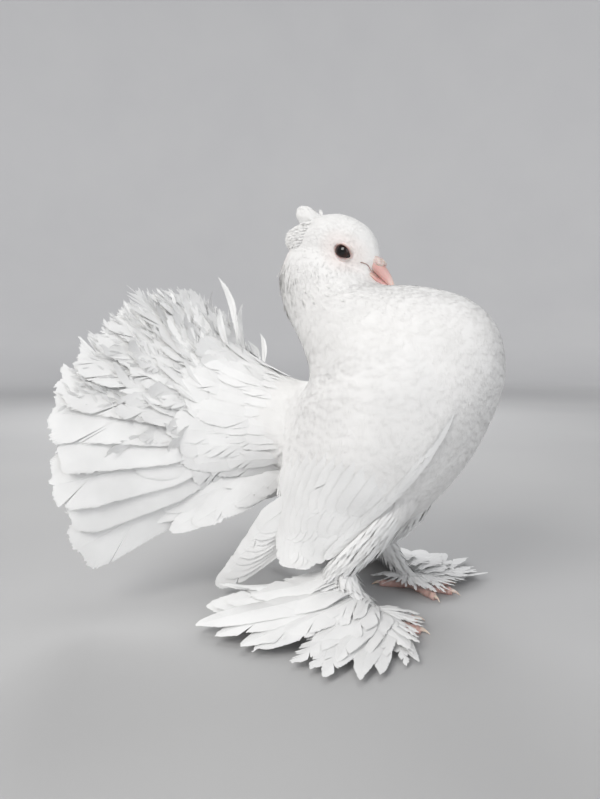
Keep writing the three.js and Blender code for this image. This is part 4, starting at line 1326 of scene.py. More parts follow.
def wing_feather(feathers, side, root, tip, heights, blade, shingle=5):
    """A feather that follows the wing's sheet, from one place and height over it to another."""
    def spot(place_at, height):
        return wing_point(side, *place_at) + wing_normal(side, *place_at) * height

    start, end = spot(root, heights[0]), spot(tip, heights[1])
    middle = spot((root + tip) / 2, sum(heights) / 2)
    normal = wing_normal(side, *mix(root, tip, 0.6))
    tilt = math.radians(shingle) * side
    normal = normal * math.cos(tilt) + np.cross(unit(end - start), normal) * math.sin(tilt)
    feathers.add(start, end, normal, replace(blade, bow=(middle - (start + end) / 2) * 2))


def wing_edge(feathers, side):
    """Narrow coverts laid along the wing's front edge, where it shows as a line against the breast."""
    for down in np.arange(EDGE_FROM, EDGE_TO, EDGE_STEP):
        root, tip = np.array([down, EDGE_ACROSS[0]]), np.array([down + EDGE_LENGTH, EDGE_ACROSS[1]])
        under, over = (wing_surface(*spot) - wing_sunk(*spot) for spot in (root, tip))
        rise = EDGE_RISE * smooth((down - 0.2) / 0.2)
        wing_feather(feathers, side, root, tip, (under - WING_ROOT_DEPTH, over + rise), EDGE_COVERT, 2)


def make_wing(ground, side, name, material):
    feathers = Feathers(ground)
    primary_fan(feathers, side)
    wing_edge(feathers, side)
    for count, roots, tips, lift, blade in WING_ROWS:
        for k in range(count):
            f = k / (count - 1)
            root = mix(np.array(roots[0]), np.array(roots[1]), f)
            edge = abs(2 * f - 1) ** 3
            tip = catmull(tips, f) + rng.normal(0, 0.008, 2)
            narrowed = replace(blade, half=blade.half * (1 - END_NARROWING * edge))
            under_skin = wing_surface(*root) - wing_sunk(*root) - WING_ROOT_DEPTH
            wing_feather(feathers, side, root, tip, (under_skin, lift * (1 - 0.5 * edge)), narrowed)
    return feathers.make(name, material)


def primary_fan(feathers, side):
    """The folded primaries: stacked blades from the wing's hand to a narrow point, the longest innermost."""
    longest, shortest = np.array(PRIMARY_TIPS, float)
    for k in range(PRIMARIES):
        f = k / (PRIMARIES - 1)
        tip = mix(longest, shortest, f**0.85)
        y = 38.5 + 0.95 * k
        root = np.array([-38, y * side, 66 + 1.3 * k])
        bow = (-5, 0.8 * side, -6 + 0.8 * k)
        blade = replace(PRIMARY, bow=bow, twist=0.12 * side, curl=rng.uniform(-1, 0.5))
        feathers.add(root, (tip[0], (y - 1.2 + 0.4 * k) * side, tip[2]), (0, side, 0), blade)


# Crest and nape

# Small feathers in the tuft, round the back of the head, and down the nape
CREST_COUNT = 240
RUFF_COUNT = 1300
NAPE_COUNT = 420
# Half width of a feather and spread of its barbs, in the tuft and in the ruff
CREST_FEATHER = (1.3, 0.8)
RUFF_FEATHER = (0.6, 0.5)
# The tuft is egg-shaped: where its middle line starts and ends, and its half widths across and upwards
CREST_LINE = ((-18, 0, 5.0), (-36.4, 0, 9.2))
CREST_RADII = (8.4, 6.0)
GOLDEN_ANGLE = math.pi * (3 - math.sqrt(5))


def head_normal(t, angle):
    step = 0.02
    along = head_surface(min(t + step, 1), angle) - head_surface(max(t - step, 0), angle)
    around = head_surface(t, angle + step) - head_surface(t, angle - step)
    normal = unit(np.cross(along, around))
    return normal if normal @ (head_surface(t, angle) - head_point(-8, 0, 2)) > 0 else -normal


def crest_place(share, turn, inward):
    """A point of the tuft's outside, at a share of its length and a turn round it, and the way out of it."""
    start, end = (head_point(*p) for p in CREST_LINE)
    up = unit(np.cross((0, 1, 0), end - start))
    out = CREST_RADII[0] * math.sin(turn) * np.array([0, 1, 0]) + CREST_RADII[1] * math.cos(turn) * up
    full = math.sqrt(max(1 - ((share - 0.3) / 0.74) ** 2, 0.01))
    return mix(start, end, share) + out * full * inward, out


def crest_feathers():
    """Overlapping rows of small feathers round the tuft, and more of them inside it."""
    for k in range(CREST_COUNT):
        turn = k * GOLDEN_ANGLE + rng.normal(0, 0.12)
        end = mix(0.32, 1.0, ((k + 0.5) / CREST_COUNT) ** 0.8) + rng.normal(0, 0.035)
        inward = 1 if k % 3 else rng.uniform(0.3, 0.9)
        root, _ = crest_place(end - 0.62, turn, inward * 0.94)
        middle, out = crest_place(end - 0.28, turn, inward)
        tip, _ = crest_place(end, turn, inward)
        tip = tip + rng.normal(0, 0.35, 3)
        yield root, tip, out + rng.normal(0, 1.2, 3), middle - (root + tip) / 2
    root = head_point(-19, 0.5, 11)
    yield root, head_point(-24.4, 1, 15.2), np.array([0, 1, 0.4]), head_direction(0.6, 0, 0.6)


def ruff_feathers():
    """Soft feathers that stand off the back of the head and curve down round the nape."""
    for _ in range(RUFF_COUNT):
        side = rng.choice((-1, 1))
        t, turn = rng.uniform(0.01, 0.26), side * rng.uniform(0.9, 3.1)
        root, normal = head_surface(t, turn, -HEAD_COAT - 0.3), head_normal(t, turn)
        stand = 1 - smooth((t - 0.08) / 0.16)
        way = unit(normal * mix(0.03, 0.08, stand) + head_direction(-0.7, 0, -0.55) + rng.normal(0, 0.08, 3))
        yield root, root + way * rng.uniform(3, 5.6), normal + rng.normal(0, 0.06, 3), normal * 0.4
    for _ in range(NAPE_COUNT):
        station, turn = rng.uniform(9.8, 12.6), rng.normal(0, 0.75)
        root, below = body_point(station, turn, -COAT - 0.3), body_point(station - 0.4, turn, -COAT - 0.3)
        normal = unit(body_point(station, turn, 1) - body_point(station, turn, -1))
        way = unit(unit(below - root) + normal * rng.uniform(0.03, 0.2) + rng.normal(0, 0.09, 3))
        yield root, root + way * rng.uniform(5, 7.5), normal + rng.normal(0, 0.08, 3), normal * 0.4


def make_crest(ground, material):
    """The rounded tuft behind the crown, and the soft ruff that runs from it down the nape."""
    feathers = Feathers(ground)
    for tuft, (half, tip_spread) in ((crest_feathers(), CREST_FEATHER), (ruff_feathers(), RUFF_FEATHER)):
        roots, tips, normals, bows = (np.array(v) for v in zip(*tuft))
        feathers.add_tuft(roots, tips, normals, half, bows, lift=0.15, tip_spread=tip_spread)
    return feathers.make("crest", material)


# Feet

# The foot's long feathers, from the front round to the rear: lengths, first and last turn in degrees from
# straight ahead, first and last root
MUFF_LENGTHS = (56, 62, 72, 76, 72, 78, 84, 100)
MUFF_TURN = (44, 147)
MUFF_ROOTS = ((6, 39, 5), (-17, 36, 17))
MUFF_BLADE = Blade(
    10, tip_start=0.6, tip_power=1.9, splits=1.2, split_size=4, shaft=0.4, camber=0.1, wave=0.5, ragged=0.2,
    notches=0.4,
)
HOCK_BLADE = replace(MUFF_BLADE, bow=(-2, 2, -2), tip_start=0.55, tip_power=1.7, splits=0.6)
RAISED_BLADE = replace(
    MUFF_BLADE, half=3.2, bow=(-6, 9, -15), tip_start=0.5, tip_power=1.5, splits=0, camber=0.3, shaft=0.4,
)
TOE_BLADE = replace(
    MUFF_BLADE, bow=(0, 0, 2.2), spacing=0.9, tip_start=0.4, tip_power=1.7, ragged=0.3, shaft=0.3, camber=0.3,
)
# Roots and tips of the lowest and the highest feather at the hock, and tips of the two raised ones
HOCK_ROOTS = ((-19, 38, 19), (-26, 38, 31))
HOCK_TIPS = ((-99, 72, 7), (-62, 50, 15))
RAISED_TIPS = ((-94, 61, 18.5), (-87, 62, 20))
# Layers of the muff: how many feathers, share of the full length, height over the floor
MUFF_LAYERS = ((11, 1.0, 0.0), (8, 0.8, 1.8), (6, 0.58, 3.6))
HOCK_BLADES = 7
# Downy feathers: how many, where along the limb, lengths, half width, how far they stand off it
SHANK_TUFTS = (330, (0.02, 0.8), (10, 17), 1.3, (0.1, 0.4))
THIGH_TUFTS = (900, (0.3, 1.0), (12, 18), 1.05, (0.0, 0.09))
# Small feathers over the toes: degrees from straight ahead, length, half width
TOE_FEATHERS = (
    (-74, 15, 2.4), (-62, 19, 2.4), (-52, 22, 2.6), (-43, 25, 2.8), (-34, 27, 2.8), (-25, 27, 2.8),
    (-15, 28, 2.8), (-4, 29, 2.9), (7, 30, 3), (17, 32, 3), (27, 36, 3.4), (36, 42, 4), (44, 48, 5),
    (-88, 13, 2.4), (-102, 13, 2.4), (-118, 14, 2.4), (-134, 17, 2.6), (-148, 22, 2.8), (-161, 26, 3),
    (-174, 25, 3), (-56, 15, 2.2), (-38, 18, 2.4), (-20, 19, 2.4), (-2, 20, 2.4), (14, 22, 2.6), (31, 26, 3),
)


def muff_length(f):
    """The full length at a share f of the way round the foot."""
    return float(np.interp(f * (len(MUFF_LENGTHS) - 1), range(len(MUFF_LENGTHS)), MUFF_LENGTHS))


def make_muff(ground, side, name, material):
    """Long feathers fanned out from the foot's outer side, from its front round to the rear."""
    feathers = Feathers(ground)
    mirror = np.array([1, side, 1])
    for count, share, up in MUFF_LAYERS:
        for k in range(count):
            f = np.clip((k + 0.25 * rng.normal()) / (count - 1), 0, 1)
            turn = math.radians(mix(*MUFF_TURN, f))
            length = muff_length(f) * share + rng.uniform(-6, 3)
            root = mix(*np.array(MUFF_ROOTS), f) + (0, 0, up * 0.8)
            tip = np.array([-5 + length * math.cos(turn), 36 + length * math.sin(turn), mix(1.8, 5, f) + up])
            blade = replace(
                MUFF_BLADE, half=mix(5.2, 14, f**0.8), bow=(0, 0, mix(1.5, 5, f) + up * 0.6),
                tip_start=mix(0.36, 0.55, f), tip_power=mix(1.4, 1.7, f),
                curl=rng.uniform(-0.2, 1.5), twist=rng.normal(0, 0.05),
            )
            feathers.add(root * mirror, tip * mirror, (0, 0.12 * side, 1), blade)
    hock_feathers(feathers, mirror)
    front_feathers(feathers, side)
    limb_tufts(feathers, side, SHANK, *SHANK_TUFTS)
    limb_tufts(feathers, side, THIGH, *THIGH_TUFTS)
    return feathers.make(name, material)


def hock_feathers(feathers, mirror):
    """Stiff feathers from the hock down over the muff's rear, two of them with their slender ends raised."""
    for g in np.linspace(0, 1, HOCK_BLADES):
        root = mix(*np.array(HOCK_ROOTS), g)
        tip = mix(*np.array(HOCK_TIPS), g) + rng.normal(0, 1, 3)
        blade = replace(HOCK_BLADE, half=mix(12, 7.5, g))
        feathers.add(root * mirror, tip * mirror, np.array([-0.1, 0.55, 1]) * mirror, blade)
    for tip in RAISED_TIPS:
        root, tip, normal = (np.array(v) * mirror for v in ((-24, 38, 31), tip, (-0.1, 0.5, 1)))
        feathers.add(root, tip, normal, RAISED_BLADE)


def front_feathers(feathers, side):
    """Narrow pointed feathers that lie forward over the toes."""
    for degrees, length, half in TOE_FEATHERS:
        turn = math.radians(degrees + rng.normal(0, 2))
        root = np.array([-6, 35.5 + 3 * math.sin(turn), 9.5])
        tip = np.array([-5 + length * math.cos(turn), 35.5 + length * math.sin(turn), rng.uniform(4.6, 6.4)])
        blade = replace(TOE_BLADE, half=half, curl=rng.uniform(-0.5, 1))
        feathers.add(root * (1, side, 1), tip * (1, side, 1), (0, 0, 1), blade)


def limb_tufts(feathers, side, line, count, span, lengths, half, flare):
    """Loose downy feathers round a limb, which run down it and stand a little off it."""
    centres = [(x, y * side, z, r) for (x, y, z), r in line]
    roots, tips, normals = [], [], []
    for _ in range(count):
        t, turn = rng.uniform(*span), rng.uniform(0, 2 * math.pi)
        centre = catmull(centres, t)
        down = unit((catmull(centres, min(t + 0.1, 1)) - catmull(centres, max(t - 0.1, 0)))[:3])
        out = unit(np.cross(down, (0, 1, 0)))
        away = out * math.cos(turn) + np.cross(out, down) * math.sin(turn)
        root = centre[:3] + away * max(centre[3] - 2.2, 2)
        tip = root + unit(down + away * rng.uniform(*flare)) * rng.uniform(*lengths)
        tip[2] = max(tip[2], 4.5)
        roots.append(root)
        tips.append(tip)
        normals.append(away)
    seen = ~(behind_wing(np.array(roots)) | behind_wing((np.array(roots) + np.array(tips)) / 2))
    roots, tips, normals = (np.array(v)[seen] for v in (roots, tips, normals))
    feathers.add_tuft(roots, tips, normals, half, normals * 0.4, 0.2, 0.3)


def toe_line(spec):
    """A toe's two ends on the floor, its way and the way across it, and its radius."""
    (tx, ty), radius = spec
    knot, end = np.array([*TOE_KNOT], float), np.array([tx, ty], float)
    along = unit(np.append(end - knot, 0))
    return knot, end, along, np.cross((0, 0, 1), along), radius


def flattened_ring(centre, across, reach, rise, sides, side):
    """A ring round a toe that doesn't pass below the floor."""
    angles = np.linspace(0, 2 * math.pi, sides, endpoint=False)[::side]
    ring = centre + np.outer(np.cos(angles), across) * reach + np.outer(np.sin(angles), (0, 0, 1)) * rise
    ring[:, 2] = np.maximum(ring[:, 2], 0.05)
    return ring * (1, side, 1)


def toe_rings(spec, side):
    """Rings round a toe with its joints' pads and the small steps of its scales."""
    knot, end, _, across, radius = toe_line(spec)
    rings = []
    for f in np.linspace(0, 1.04, 56):
        pads = 1 + 0.07 * math.cos(2 * math.pi * f * 3) - 0.22 * f
        scales = 1 + 0.05 * abs(math.sin(math.pi * f * 14))
        r = radius * pads * scales * (1 if f < 0.96 else mix(1, 0.72, (f - 0.96) / 0.08))
        rings.append(flattened_ring(np.append(mix(knot, end, f), r * SOLE_SHARE), across, r, r, 16, side))
    return rings


def claw_rings(spec, side):
    """Rings of a claw, which rises a little and then comes down to the floor at its point."""
    _, end, along, across, radius = toe_line(spec)
    rings = []
    for f in np.linspace(0, 1, 14):
        r = radius * 0.5 * (1 - f) ** 0.8 + 0.12
        z = max(radius * 0.62 + 0.9 * math.sin(math.pi * f) - (radius * 0.62 - 0.35) * f * f, r * 0.9 + 0.02)
        centre = np.append(end, z) + along * (-1.2 + (CLAW_LENGTH + 1.2) * f)
        rings.append(flattened_ring(centre, across, r * 0.8, r, 12, side))
    return rings


def make_toes(side, word, skin_material, claw_material):
    """The foot's toes and its claws, each with the slot of its finish."""
    knob = [[(p[0], p[1], max(p[2], 0.05)) for p in ring] for ring in limb_rings(FOOT_KNOB, side, 10, 16)]
    toes = [loft(toe_rings(t, side)) for t in TOES.values()] + [loft(knob)]
    claws = [loft(claw_rings(t, side)) for t in TOES.values()]
    yield make_object(f"toes_{word}", *join(toes), skin_material), "lid_skin"
    yield make_object(f"claws_{word}", *join(claws), claw_material), "bill_horn"


# Head

# The mouth's line, a thin tube of painted shade: along, up, out (or 0 for on the skin), thickness
GAPE_LINE = (
    (22, 1.9, 0, 0.08), (23.6, 2.35, 0, 0.17), (25.2, 2.6, 0, 0.22), (26.6, 2.2, 0, 0.22),
    (28.2, 1.0, 4.35, 0.2), (31, 0.1, 3.95, 0.16), (35, -0.85, 3.2, 0.1),
)
# The lid's rows: how far outside the opening, and how high over the eye or the skin
LID_ROWS = (
    (-0.25, -0.3), (0.0, 0.1), (0.18, 0.26), (0.45, 0.3), (0.8, 0.16), (1.2, -0.02), (1.8, -0.25),
    (2.8, -0.7),
)


def make_eye(side, word, material):
    """The eyeball, a mesh round its own origin that is turned so that its pole looks outwards."""
    points, faces = sphere((0, 0, 0), (EYE_RADIUS - 0.1,) * 3, 36, 48)
    eye = make_object(f"eye_ball_{word}", points - SHIFT * 1000, faces, material)
    eye.rotation_euler = (-side * math.pi / 2, 0, 0)
    eye.location = place(eye_centre(side))
    return eye


def lid_spot(ground, side, a, out, height):
    """A point of the lid at an angle round the eye: over the ball where there is one, else over the skin."""
    point_out = 1 + 0.2 * max(0, math.cos(a + 0.25)) ** 8 + 0.06 * max(0, -math.cos(a)) ** 6
    wrinkle = 0.07 * math.sin(17 * a)
    along = (EYE_OPENING[0] * point_out + out) * math.cos(a)
    up = (EYE_OPENING[1] * point_out + out) * math.sin(a)
    spot = eye_opening(side) + head_direction(along, 0, up)
    from_ball = EYE_RADIUS**2 - ((spot - eye_centre(side))[[0, 2]] ** 2).sum()
    ball_depth = EYE_IN_FACE[1] + math.sqrt(max(from_ball, 0))
    depth = ball_depth + height
    if out >= 0:
        over_ball = ball_depth + max(height, 0.08) if from_ball > 0 else 0
        depth = max(over_ball, ground.side_depth(spot, side) + height)
    spot[1] = side * (depth + wrinkle * max(0, 1 - abs(out - 0.8)))
    return spot


def make_lid(ground, side, word, material):
    """The bare rim round the eye, drawn to a small point towards the bill and bedded in the skin."""
    turns = np.linspace(0, 2 * math.pi, 72, endpoint=False)
    rings = [[lid_spot(ground, side, a, *row) for row in LID_ROWS][::side] for a in turns]
    sides = len(LID_ROWS)
    faces = []
    for r in range(len(rings)):
        following = (r + 1) % len(rings)
        for k in range(sides - 1):
            here, there = r * sides + k, following * sides + k
            faces.append((here, here + 1, there + 1, there))
    return make_object(f"lid_{word}", np.vstack(rings), faces, material)


def make_bill(rings, name, material):
    """A mandible, smooth along its length, with a slight keel along the top and a rounded tip."""
    angles = np.linspace(0, 2 * math.pi, 32, endpoint=False)
    lofted = []
    for t in np.linspace(0, 1, 44):
        along, top, bottom, half = catmull(rings, t)
        upper, lower = head_point(along, 0, top), head_point(along, 0, bottom)
        lofted.append([oval(upper, lower, half, a) for a in angles])
    return make_object(name, *loft(lofted), material)


def make_cere(material):
    """The two soft powdery swellings over the nostrils."""
    c = CERE
    parts = [head_swelling(c["along"], side * c["side"], c["up"], c["radii"], 0.035) for side, _ in SIDES]
    return make_object("cere_wattle", *join(parts), material)


def make_gape(ground, material):
    """The mouth's line from the bill's root to its corner in the cheek, and the nostril slits: brown forms
    that paint the shade in the seam between the mandibles, in the mouth's corner and in the nostrils'
    openings.
    """
    parts = []
    for side, _ in SIDES:
        n = NOSTRIL
        parts.append(head_swelling(n["along"], side * n["side"], n["up"], n["radii"], rows=10, columns=14))
        line = []
        for along, up, across, radius in GAPE_LINE:
            spot = head_point(along, 0, up)
            spot[1] = side * (across or ground.side_depth(spot, side) + 0.1)
            line.append((tuple(spot), radius))
        parts.append(loft(limb_rings(line, 1, 20, 8)))
    return make_object("gape", *join(parts), material)


# Materials

# The eye's colours, by distance from its pole as a share of a little over 6 mm
EYE_RINGS = (
    (0.34, (0.002, 0.002, 0.002)), (0.42, (0.012, 0.005, 0.004)), (0.66, (0.028, 0.011, 0.008)),
    (0.76, (0.008, 0.004, 0.004)),
)
EYE_RINGS_SCALE = 160.0
# The lid's colours from its wet rim outwards, as rim_distance measures; the blackish brown at the rim is
# partly the lid's own colour and partly painted shade where its edge meets the eye
LID_TONES_WITH_RIM_SHADE = (
    (0.19, (0.09, 0.045, 0.04)), (0.21, (0.26, 0.15, 0.135)), (0.235, (0.6, 0.46, 0.43)),
    (0.27, (0.8, 0.73, 0.71)),
)
# The bill's colours from its root to its tip
BILL_TONES = (
    (0.0, (0.7, 0.53, 0.48)), (0.3, (0.66, 0.38, 0.35)), (0.7, (0.7, 0.44, 0.41)), (1.0, (0.76, 0.62, 0.56)),
)
# The tint of the feathers round the eye, where skin shows through
BLUSH = (1, 0.935, 0.92)


def principled(name, colour, roughness, **sockets):
    """A material and its shader. sockets are the shader's other inputs, with _ for each space."""
    material = bpy.data.materials.new(name)
    material.use_nodes = True
    shader = material.node_tree.nodes["Principled BSDF"]
    shader.inputs["Base Color"].default_value = (*colour, 1)
    shader.inputs["Roughness"].default_value = roughness
    for socket, value in sockets.items():
        shader.inputs[socket.replace("_", " ")].default_value = value
    return material, material.node_tree, shader


def add_node(tree, kind, feeds=None, **values):
    """A node. values are its settings and fixed inputs, feeds the outputs that run into its other inputs."""
    node = tree.nodes.new(kind)
    for key, value in values.items():
        socket = key.replace("_", " ")
        if socket in node.inputs:
            node.inputs[socket].default_value = value
        else:
            setattr(node, key, value)
    for socket, source in (feeds or {}).items():
        tree.links.new(source, node.inputs[socket])
    return node


def vector_math(tree, operation, source, other=None):
    """The outcome of one sum on source, with other as a fixed second value."""
    node = add_node(tree, "ShaderNodeVectorMath", {0: source}, operation=operation)
    if other is not None:
        node.inputs[1].default_value = other
    return node.outputs["Value" if operation in ("LENGTH", "DOT_PRODUCT") else "Vector"]


def object_place(tree):
    return add_node(tree, "ShaderNodeTexCoord").outputs["Object"]


def object_axes(tree):
    return add_node(tree, "ShaderNodeSeparateXYZ", {"Vector": object_place(tree)}).outputs


def object_noise(tree, scale, detail):
    noise = add_node(tree, "ShaderNodeTexNoise", {"Vector": object_place(tree)}, Scale=scale, Detail=detail)
    return noise.outputs["Fac"]


def colour_ramp(tree, source, stops):
    """A colour that follows source from stop to stop; each stop is a position and a colour."""
    ramp = add_node(tree, "ShaderNodeValToRGB", {"Fac": source})
    elements = ramp.color_ramp.elements
    for element, (position, colour) in zip(elements, (stops[0], stops[-1])):
        element.position, element.color = position, (*colour, 1)
    for position, colour in stops[1:-1]:
        elements.new(position).color = (*colour, 1)
    return ramp.outputs["Color"]


def bump(tree, shader, source, distance, strength):
    node = add_node(tree, "ShaderNodeBump", {"Height": source}, Strength=strength, Distance=distance)
    tree.links.new(node.outputs["Normal"], shader.inputs["Normal"])


def plumage_material(name, low, high, roughness, fine, blush=None):
    """White feathers, a little uneven. blush tints those round the eyes, where skin shows through."""
    material, tree, shader = principled(
        name, high, roughness, Specular_IOR_Level=0.2, Sheen_Weight=0.15, Sheen_Roughness=0.4,
    )
    colour = colour_ramp(tree, object_noise(tree, 38, 4), ((0.3, low), (0.62, high)))
    if blush:
        tint = colour_ramp(tree, rim_distance(tree), ((0.25, blush), (0.75, (1, 1, 1))))
        blend = add_node(tree, "ShaderNodeMix", data_type="RGBA", blend_type="MULTIPLY")
        blend.inputs["Factor"].default_value = 1.0
        tree.links.new(colour, blend.inputs["A"])
        tree.links.new(tint, blend.inputs["B"])
        colour = blend.outputs["Result"]
    tree.links.new(colour, shader.inputs["Base Color"])
    bump(tree, shader, object_noise(tree, fine, 2), 0.0002, 0.2)
    return material


def rim_distance(tree):
    """How far places lie from the middle of the nearer eye's opening: a fifth at its rim."""
    folded = vector_math(tree, "ABSOLUTE", object_place(tree))
    away = vector_math(tree, "SUBTRACT", folded, np.abs(place(eye_opening(LEFT))))
    measures = {}
    for axis, size, socket in (((1, 0, 0), EYE_OPENING[0], "X"), ((0, 0, 1), EYE_OPENING[1], "Y")):
        per_size = head_direction(*axis) * 1000 / size / 5
        measures[socket] = vector_math(tree, "DOT_PRODUCT", away, per_size)
    flat = add_node(tree, "ShaderNodeCombineXYZ", measures)
    return vector_math(tree, "LENGTH", flat.outputs["Vector"])


def lid_material():
    """Thin bare skin: blackish brown at the wet rim, partly its own colour and partly painted shade where the
    lid's edge meets the eye, and pale where it runs in under the feathers.
    """
    material, tree, shader = principled(
        "lid", (0.7, 0.6, 0.57), 0.5, Subsurface_Weight=0.15, Subsurface_Scale=0.001,
    )
    tree.links.new(colour_ramp(tree, rim_distance(tree), LID_TONES_WITH_RIM_SHADE), shader.inputs["Base Color"])
    bump(tree, shader, object_noise(tree, 1800, 3), 0.0001, 0.5)
    return material


def eye_material():
    """Nearly black brown iris with a wet surface, by distance from the eye's outward axis."""
    material, tree, shader = principled("eye", (0.012, 0.006, 0.005), 0.03, Specular_IOR_Level=0.45)
    axes = object_axes(tree)
    flat = add_node(tree, "ShaderNodeCombineXYZ", {"X": axes["X"], "Y": axes["Y"]})
    radius = vector_math(tree, "LENGTH", flat.outputs["Vector"])
    scaled = add_node(tree, "ShaderNodeMath", {0: radius}, operation="MULTIPLY")
    scaled.inputs[1].default_value = EYE_RINGS_SCALE
    tree.links.new(colour_ramp(tree, scaled.outputs["Value"], EYE_RINGS), shader.inputs["Base Color"])
    return material


def skin_material(name, low, high, roughness, scale, depth):
    """Bare skin or claw: a colour between low and high, and a fine grain of the given depth."""
    material, tree, shader = principled(
        name, high, roughness, Subsurface_Weight=0.15, Subsurface_Scale=0.002,
    )
    colour = colour_ramp(tree, object_noise(tree, scale, 4), ((0.35, low), (0.65, high)))
    tree.links.new(colour, shader.inputs["Base Color"])
    bump(tree, shader, object_noise(tree, scale * 6, 3), depth, 0.4)
    return material


def bill_material():
    """Flesh-pink horn, paler towards the tip."""
    material, tree, shader = principled(
        "bill", (0.75, 0.42, 0.36), 0.38, Subsurface_Weight=0.2, Subsurface_Scale=0.0015,
    )
    tip, root = place(head_point(47, 0, -2)), place(head_point(24, 0, 6))
    along = {"Value": object_axes(tree)["X"]}
    span = add_node(tree, "ShaderNodeMapRange", along, From_Min=root[0], From_Max=tip[0])
    tree.links.new(colour_ramp(tree, span.outputs["Result"], BILL_TONES), shader.inputs["Base Color"])
    bump(tree, shader, object_noise(tree, 900, 3), 0.0001, 0.3)
    return material


# Scene

FLOOR_SIDES = 96
# The backdrop's glow, and how far from the middle it starts and is full, in metres
GLOW = (0.27, 0.27, 0.275)
GLOW_REACH = (0.8, 3.2)
# Lamps in metres: place, what they are aimed at, size, power and colour
LAMPS = (
    ("key", (-0.15, -1.25, 1.0), (0, 0, 0.13), 0.7, 13, (1, 0.985, 0.96)),
    ("fill", (1.2, -0.7, 0.5), (0, 0, 0.12), 1.0, 4, (0.94, 0.97, 1)),
    ("back", (-0.7, 1.1, 0.9), (0, 0, 0.14), 0.8, 10, (1, 1, 1)),
    ("top", (0, 0, 2.6), (0, 0, 0), 1.5, 12, (1, 1, 1)),
)


def make_camera():
    """The photograph's point of view."""
    camera = bpy.data.objects.new("camera", bpy.data.cameras.new("camera"))
    camera.data.sensor_fit = "VERTICAL"
    camera.data.sensor_height = 36
    camera.data.lens = 36 * FOCAL_PIXELS / PICTURE[1]
    camera.data.clip_start = 0.02
    camera.location = place(CAMERA_AT)
    camera.rotation_euler = (math.radians(90 - CAMERA_PITCH), 0, math.radians(CAMERA_AZIMUTH))
    bpy.context.scene.collection.objects.link(camera)
    bpy.context.scene.camera = camera


def make_light(name, at, aim, size, power, colour):
    light = bpy.data.lights.new(name, "AREA")
    light.size = size
    light.energy = power
    light.color = colour
    obj = bpy.data.objects.new(name, light)
    obj.location = at
    obj.rotation_euler = (Vector(aim) - Vector(at)).to_track_quat("-Z", "Y").to_euler()
    bpy.context.scene.collection.objects.link(obj)


def floor_mesh():
    """A floor in metres that curves up all round into a backdrop."""
    profile = [(r, 0.0) for r in (0.0, 0.4, 1.0, 1.8, 2.6)]
    profile += [(2.6 + 1.2 * math.sin(a), 1.2 - 1.2 * math.cos(a)) for a in np.linspace(0.1, math.pi / 2, 14)]
    profile += [(3.8, 2.0), (3.8, 3.4)]
    turns = np.linspace(0, 2 * math.pi, FLOOR_SIDES, endpoint=False)
    points = [(r * math.cos(t), r * math.sin(t), z) for r, z in profile for t in turns]
    faces = []
    for row in range(len(profile) - 1):
        for k in range(FLOOR_SIDES):
            a, b = row * FLOOR_SIDES + k, row * FLOOR_SIDES + (k + 1) % FLOOR_SIDES
            faces.append((a, b, b + FLOOR_SIDES, a + FLOOR_SIDES))
    mesh = bpy.data.meshes.new("floor")
    mesh.from_pydata(points, [], faces)
    mesh.polygons.foreach_set("use_smooth", np.ones(len(faces), bool))
    return mesh


def floor_material():
    """Pale grey, which glows more and more towards the backdrop."""
    material, tree, shader = principled("floor", (0.42, 0.42, 0.42), 0.85, Emission_Strength=1.0)
    shade = colour_ramp(tree, object_noise(tree, 3, 2), ((0.3, (0.47, 0.47, 0.475)), (0.7, (0.5, 0.5, 0.5))))
    tree.links.new(shade, shader.inputs["Base Color"])
    reach = {"Value": vector_math(tree, "LENGTH", object_place(tree))}
    share = add_node(tree, "ShaderNodeMapRange", reach, From_Min=GLOW_REACH[0], From_Max=GLOW_REACH[1])
    glow = colour_ramp(tree, share.outputs["Result"], ((0.0, (0, 0, 0)), (1.0, GLOW)))
    tree.links.new(glow, shader.inputs["Emission Color"])
    return material


def make_stage():
    """The floor, the soft light from all round, and the lamps."""
    mesh = floor_mesh()
    mesh.materials.append(floor_material())
    floor = bpy.data.objects.new("floor", mesh)
    bpy.context.scene.collection.objects.link(floor)
    floor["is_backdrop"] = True
    world = bpy.data.worlds.new("world")
    world.use_nodes = True
    world.node_tree.nodes["Background"].inputs["Color"].default_value = (0.8, 0.82, 0.86, 1)
    world.node_tree.nodes["Background"].inputs["Strength"].default_value = 0.2
    bpy.context.scene.world = world
    bpy.context.scene.view_settings.view_transform = "Standard"
    for lamp in LAMPS:
        make_light(*lamp)


def finish(obj, slot, *nodes):
    """Settles one piece: it rides on the bird and stands for its solids, which are hidden. slot is not used.
    """
    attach(obj, "root")
    if nodes:
        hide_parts(*nodes)


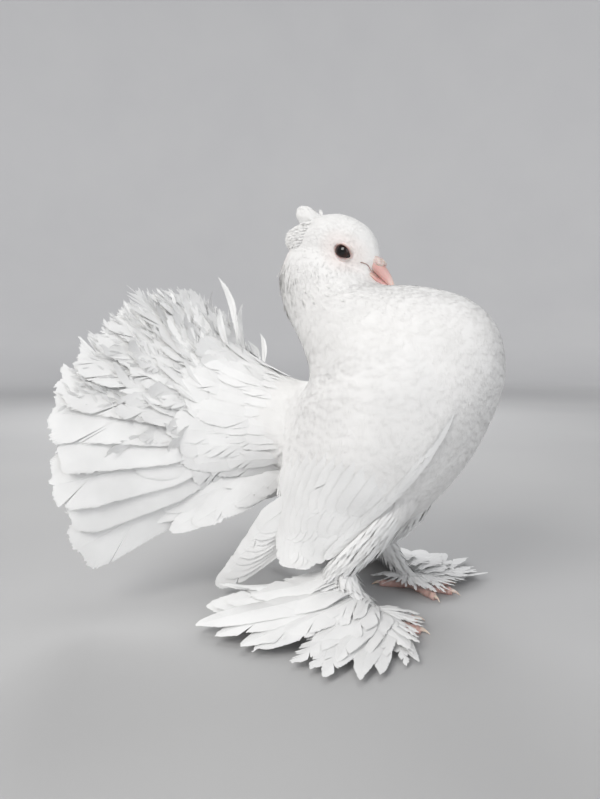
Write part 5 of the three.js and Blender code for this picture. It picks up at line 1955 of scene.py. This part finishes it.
def main():
    """Makes the stage and every piece, and settles each piece."""
    make_camera()
    make_stage()
    white = plumage_material("plumage", (0.84, 0.835, 0.825), (0.89, 0.885, 0.875), 0.75, 2600)
    head_white = plumage_material(
        "plumage_head", (0.83, 0.825, 0.815), (0.885, 0.88, 0.87), 0.75, 2600, blush=BLUSH,
    )
    vane_white = plumage_material("vanes", (0.82, 0.82, 0.815), (0.9, 0.9, 0.895), 0.6, 1800)
    toe_skin = skin_material("toe_skin", (0.6, 0.36, 0.32), (0.72, 0.52, 0.47), 0.5, 260, 0.0003)
    wax = skin_material("cere", (0.6, 0.46, 0.42), (0.76, 0.66, 0.62), 0.8, 700, 0.0004)
    horn, wet, rim = bill_material(), eye_material(), lid_material()
    claw = skin_material("claw", (0.78, 0.6, 0.5), (0.85, 0.72, 0.62), 0.35, 200, 0.0001)
    # Brown painted shade for the mouth's seam and the nostril slits
    dark = skin_material("nostril", (0.34, 0.22, 0.2), (0.44, 0.3, 0.27), 0.6, 300, 0.0001)

    skin = make_skin(head_white)
    finish(skin, "plumage", "torso", "neck", "head", "tail_base", "leg_right", "leg_left")
    ground = Ground(skin)
    for piece in plant_small_feathers(ground, Lie(), head_white):
        finish(piece, "plumage")
    finish(make_tail(ground, vane_white), "plumage", "tail_right", "tail_centre", "tail_left")
    finish(make_tail_coverts(ground, vane_white), "plumage")
    finish(make_tail_frills(ground, vane_white), "plumage")
    finish(make_tail_slope(ground, vane_white), "plumage")
    finish(make_crest(ground, white), "plumage")
    for side, word in SIDES:
        finish(make_wing(ground, side, f"wing_feathers_{word}", vane_white), "plumage", f"wing_{word}")
        finish(make_muff(ground, side, f"muff_{word}", vane_white), "plumage", f"foot_{word}")
        for piece, slot in make_toes(side, word, toe_skin, claw):
            finish(piece, slot)
        finish(make_eye(side, word, wet), "eye", f"eye_{word}")
        finish(make_lid(ground, side, word, rim), "lid_skin", f"eyelids_{word}")
    finish(make_bill(BILL_UPPER, "bill_top", horn), "bill_horn", "bill_upper")
    finish(make_bill(BILL_LOWER, "bill_bottom", horn), "bill_horn", "bill_lower")
    finish(make_cere(wax), "cere_wax", "cere")
    finish(make_gape(ground, dark), "cere_wax")


main()
boxes = {"cad": cad_box, "visual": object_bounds()}
{k: [list(map(float, corner)) for corner in v] for k, v in boxes.items()}
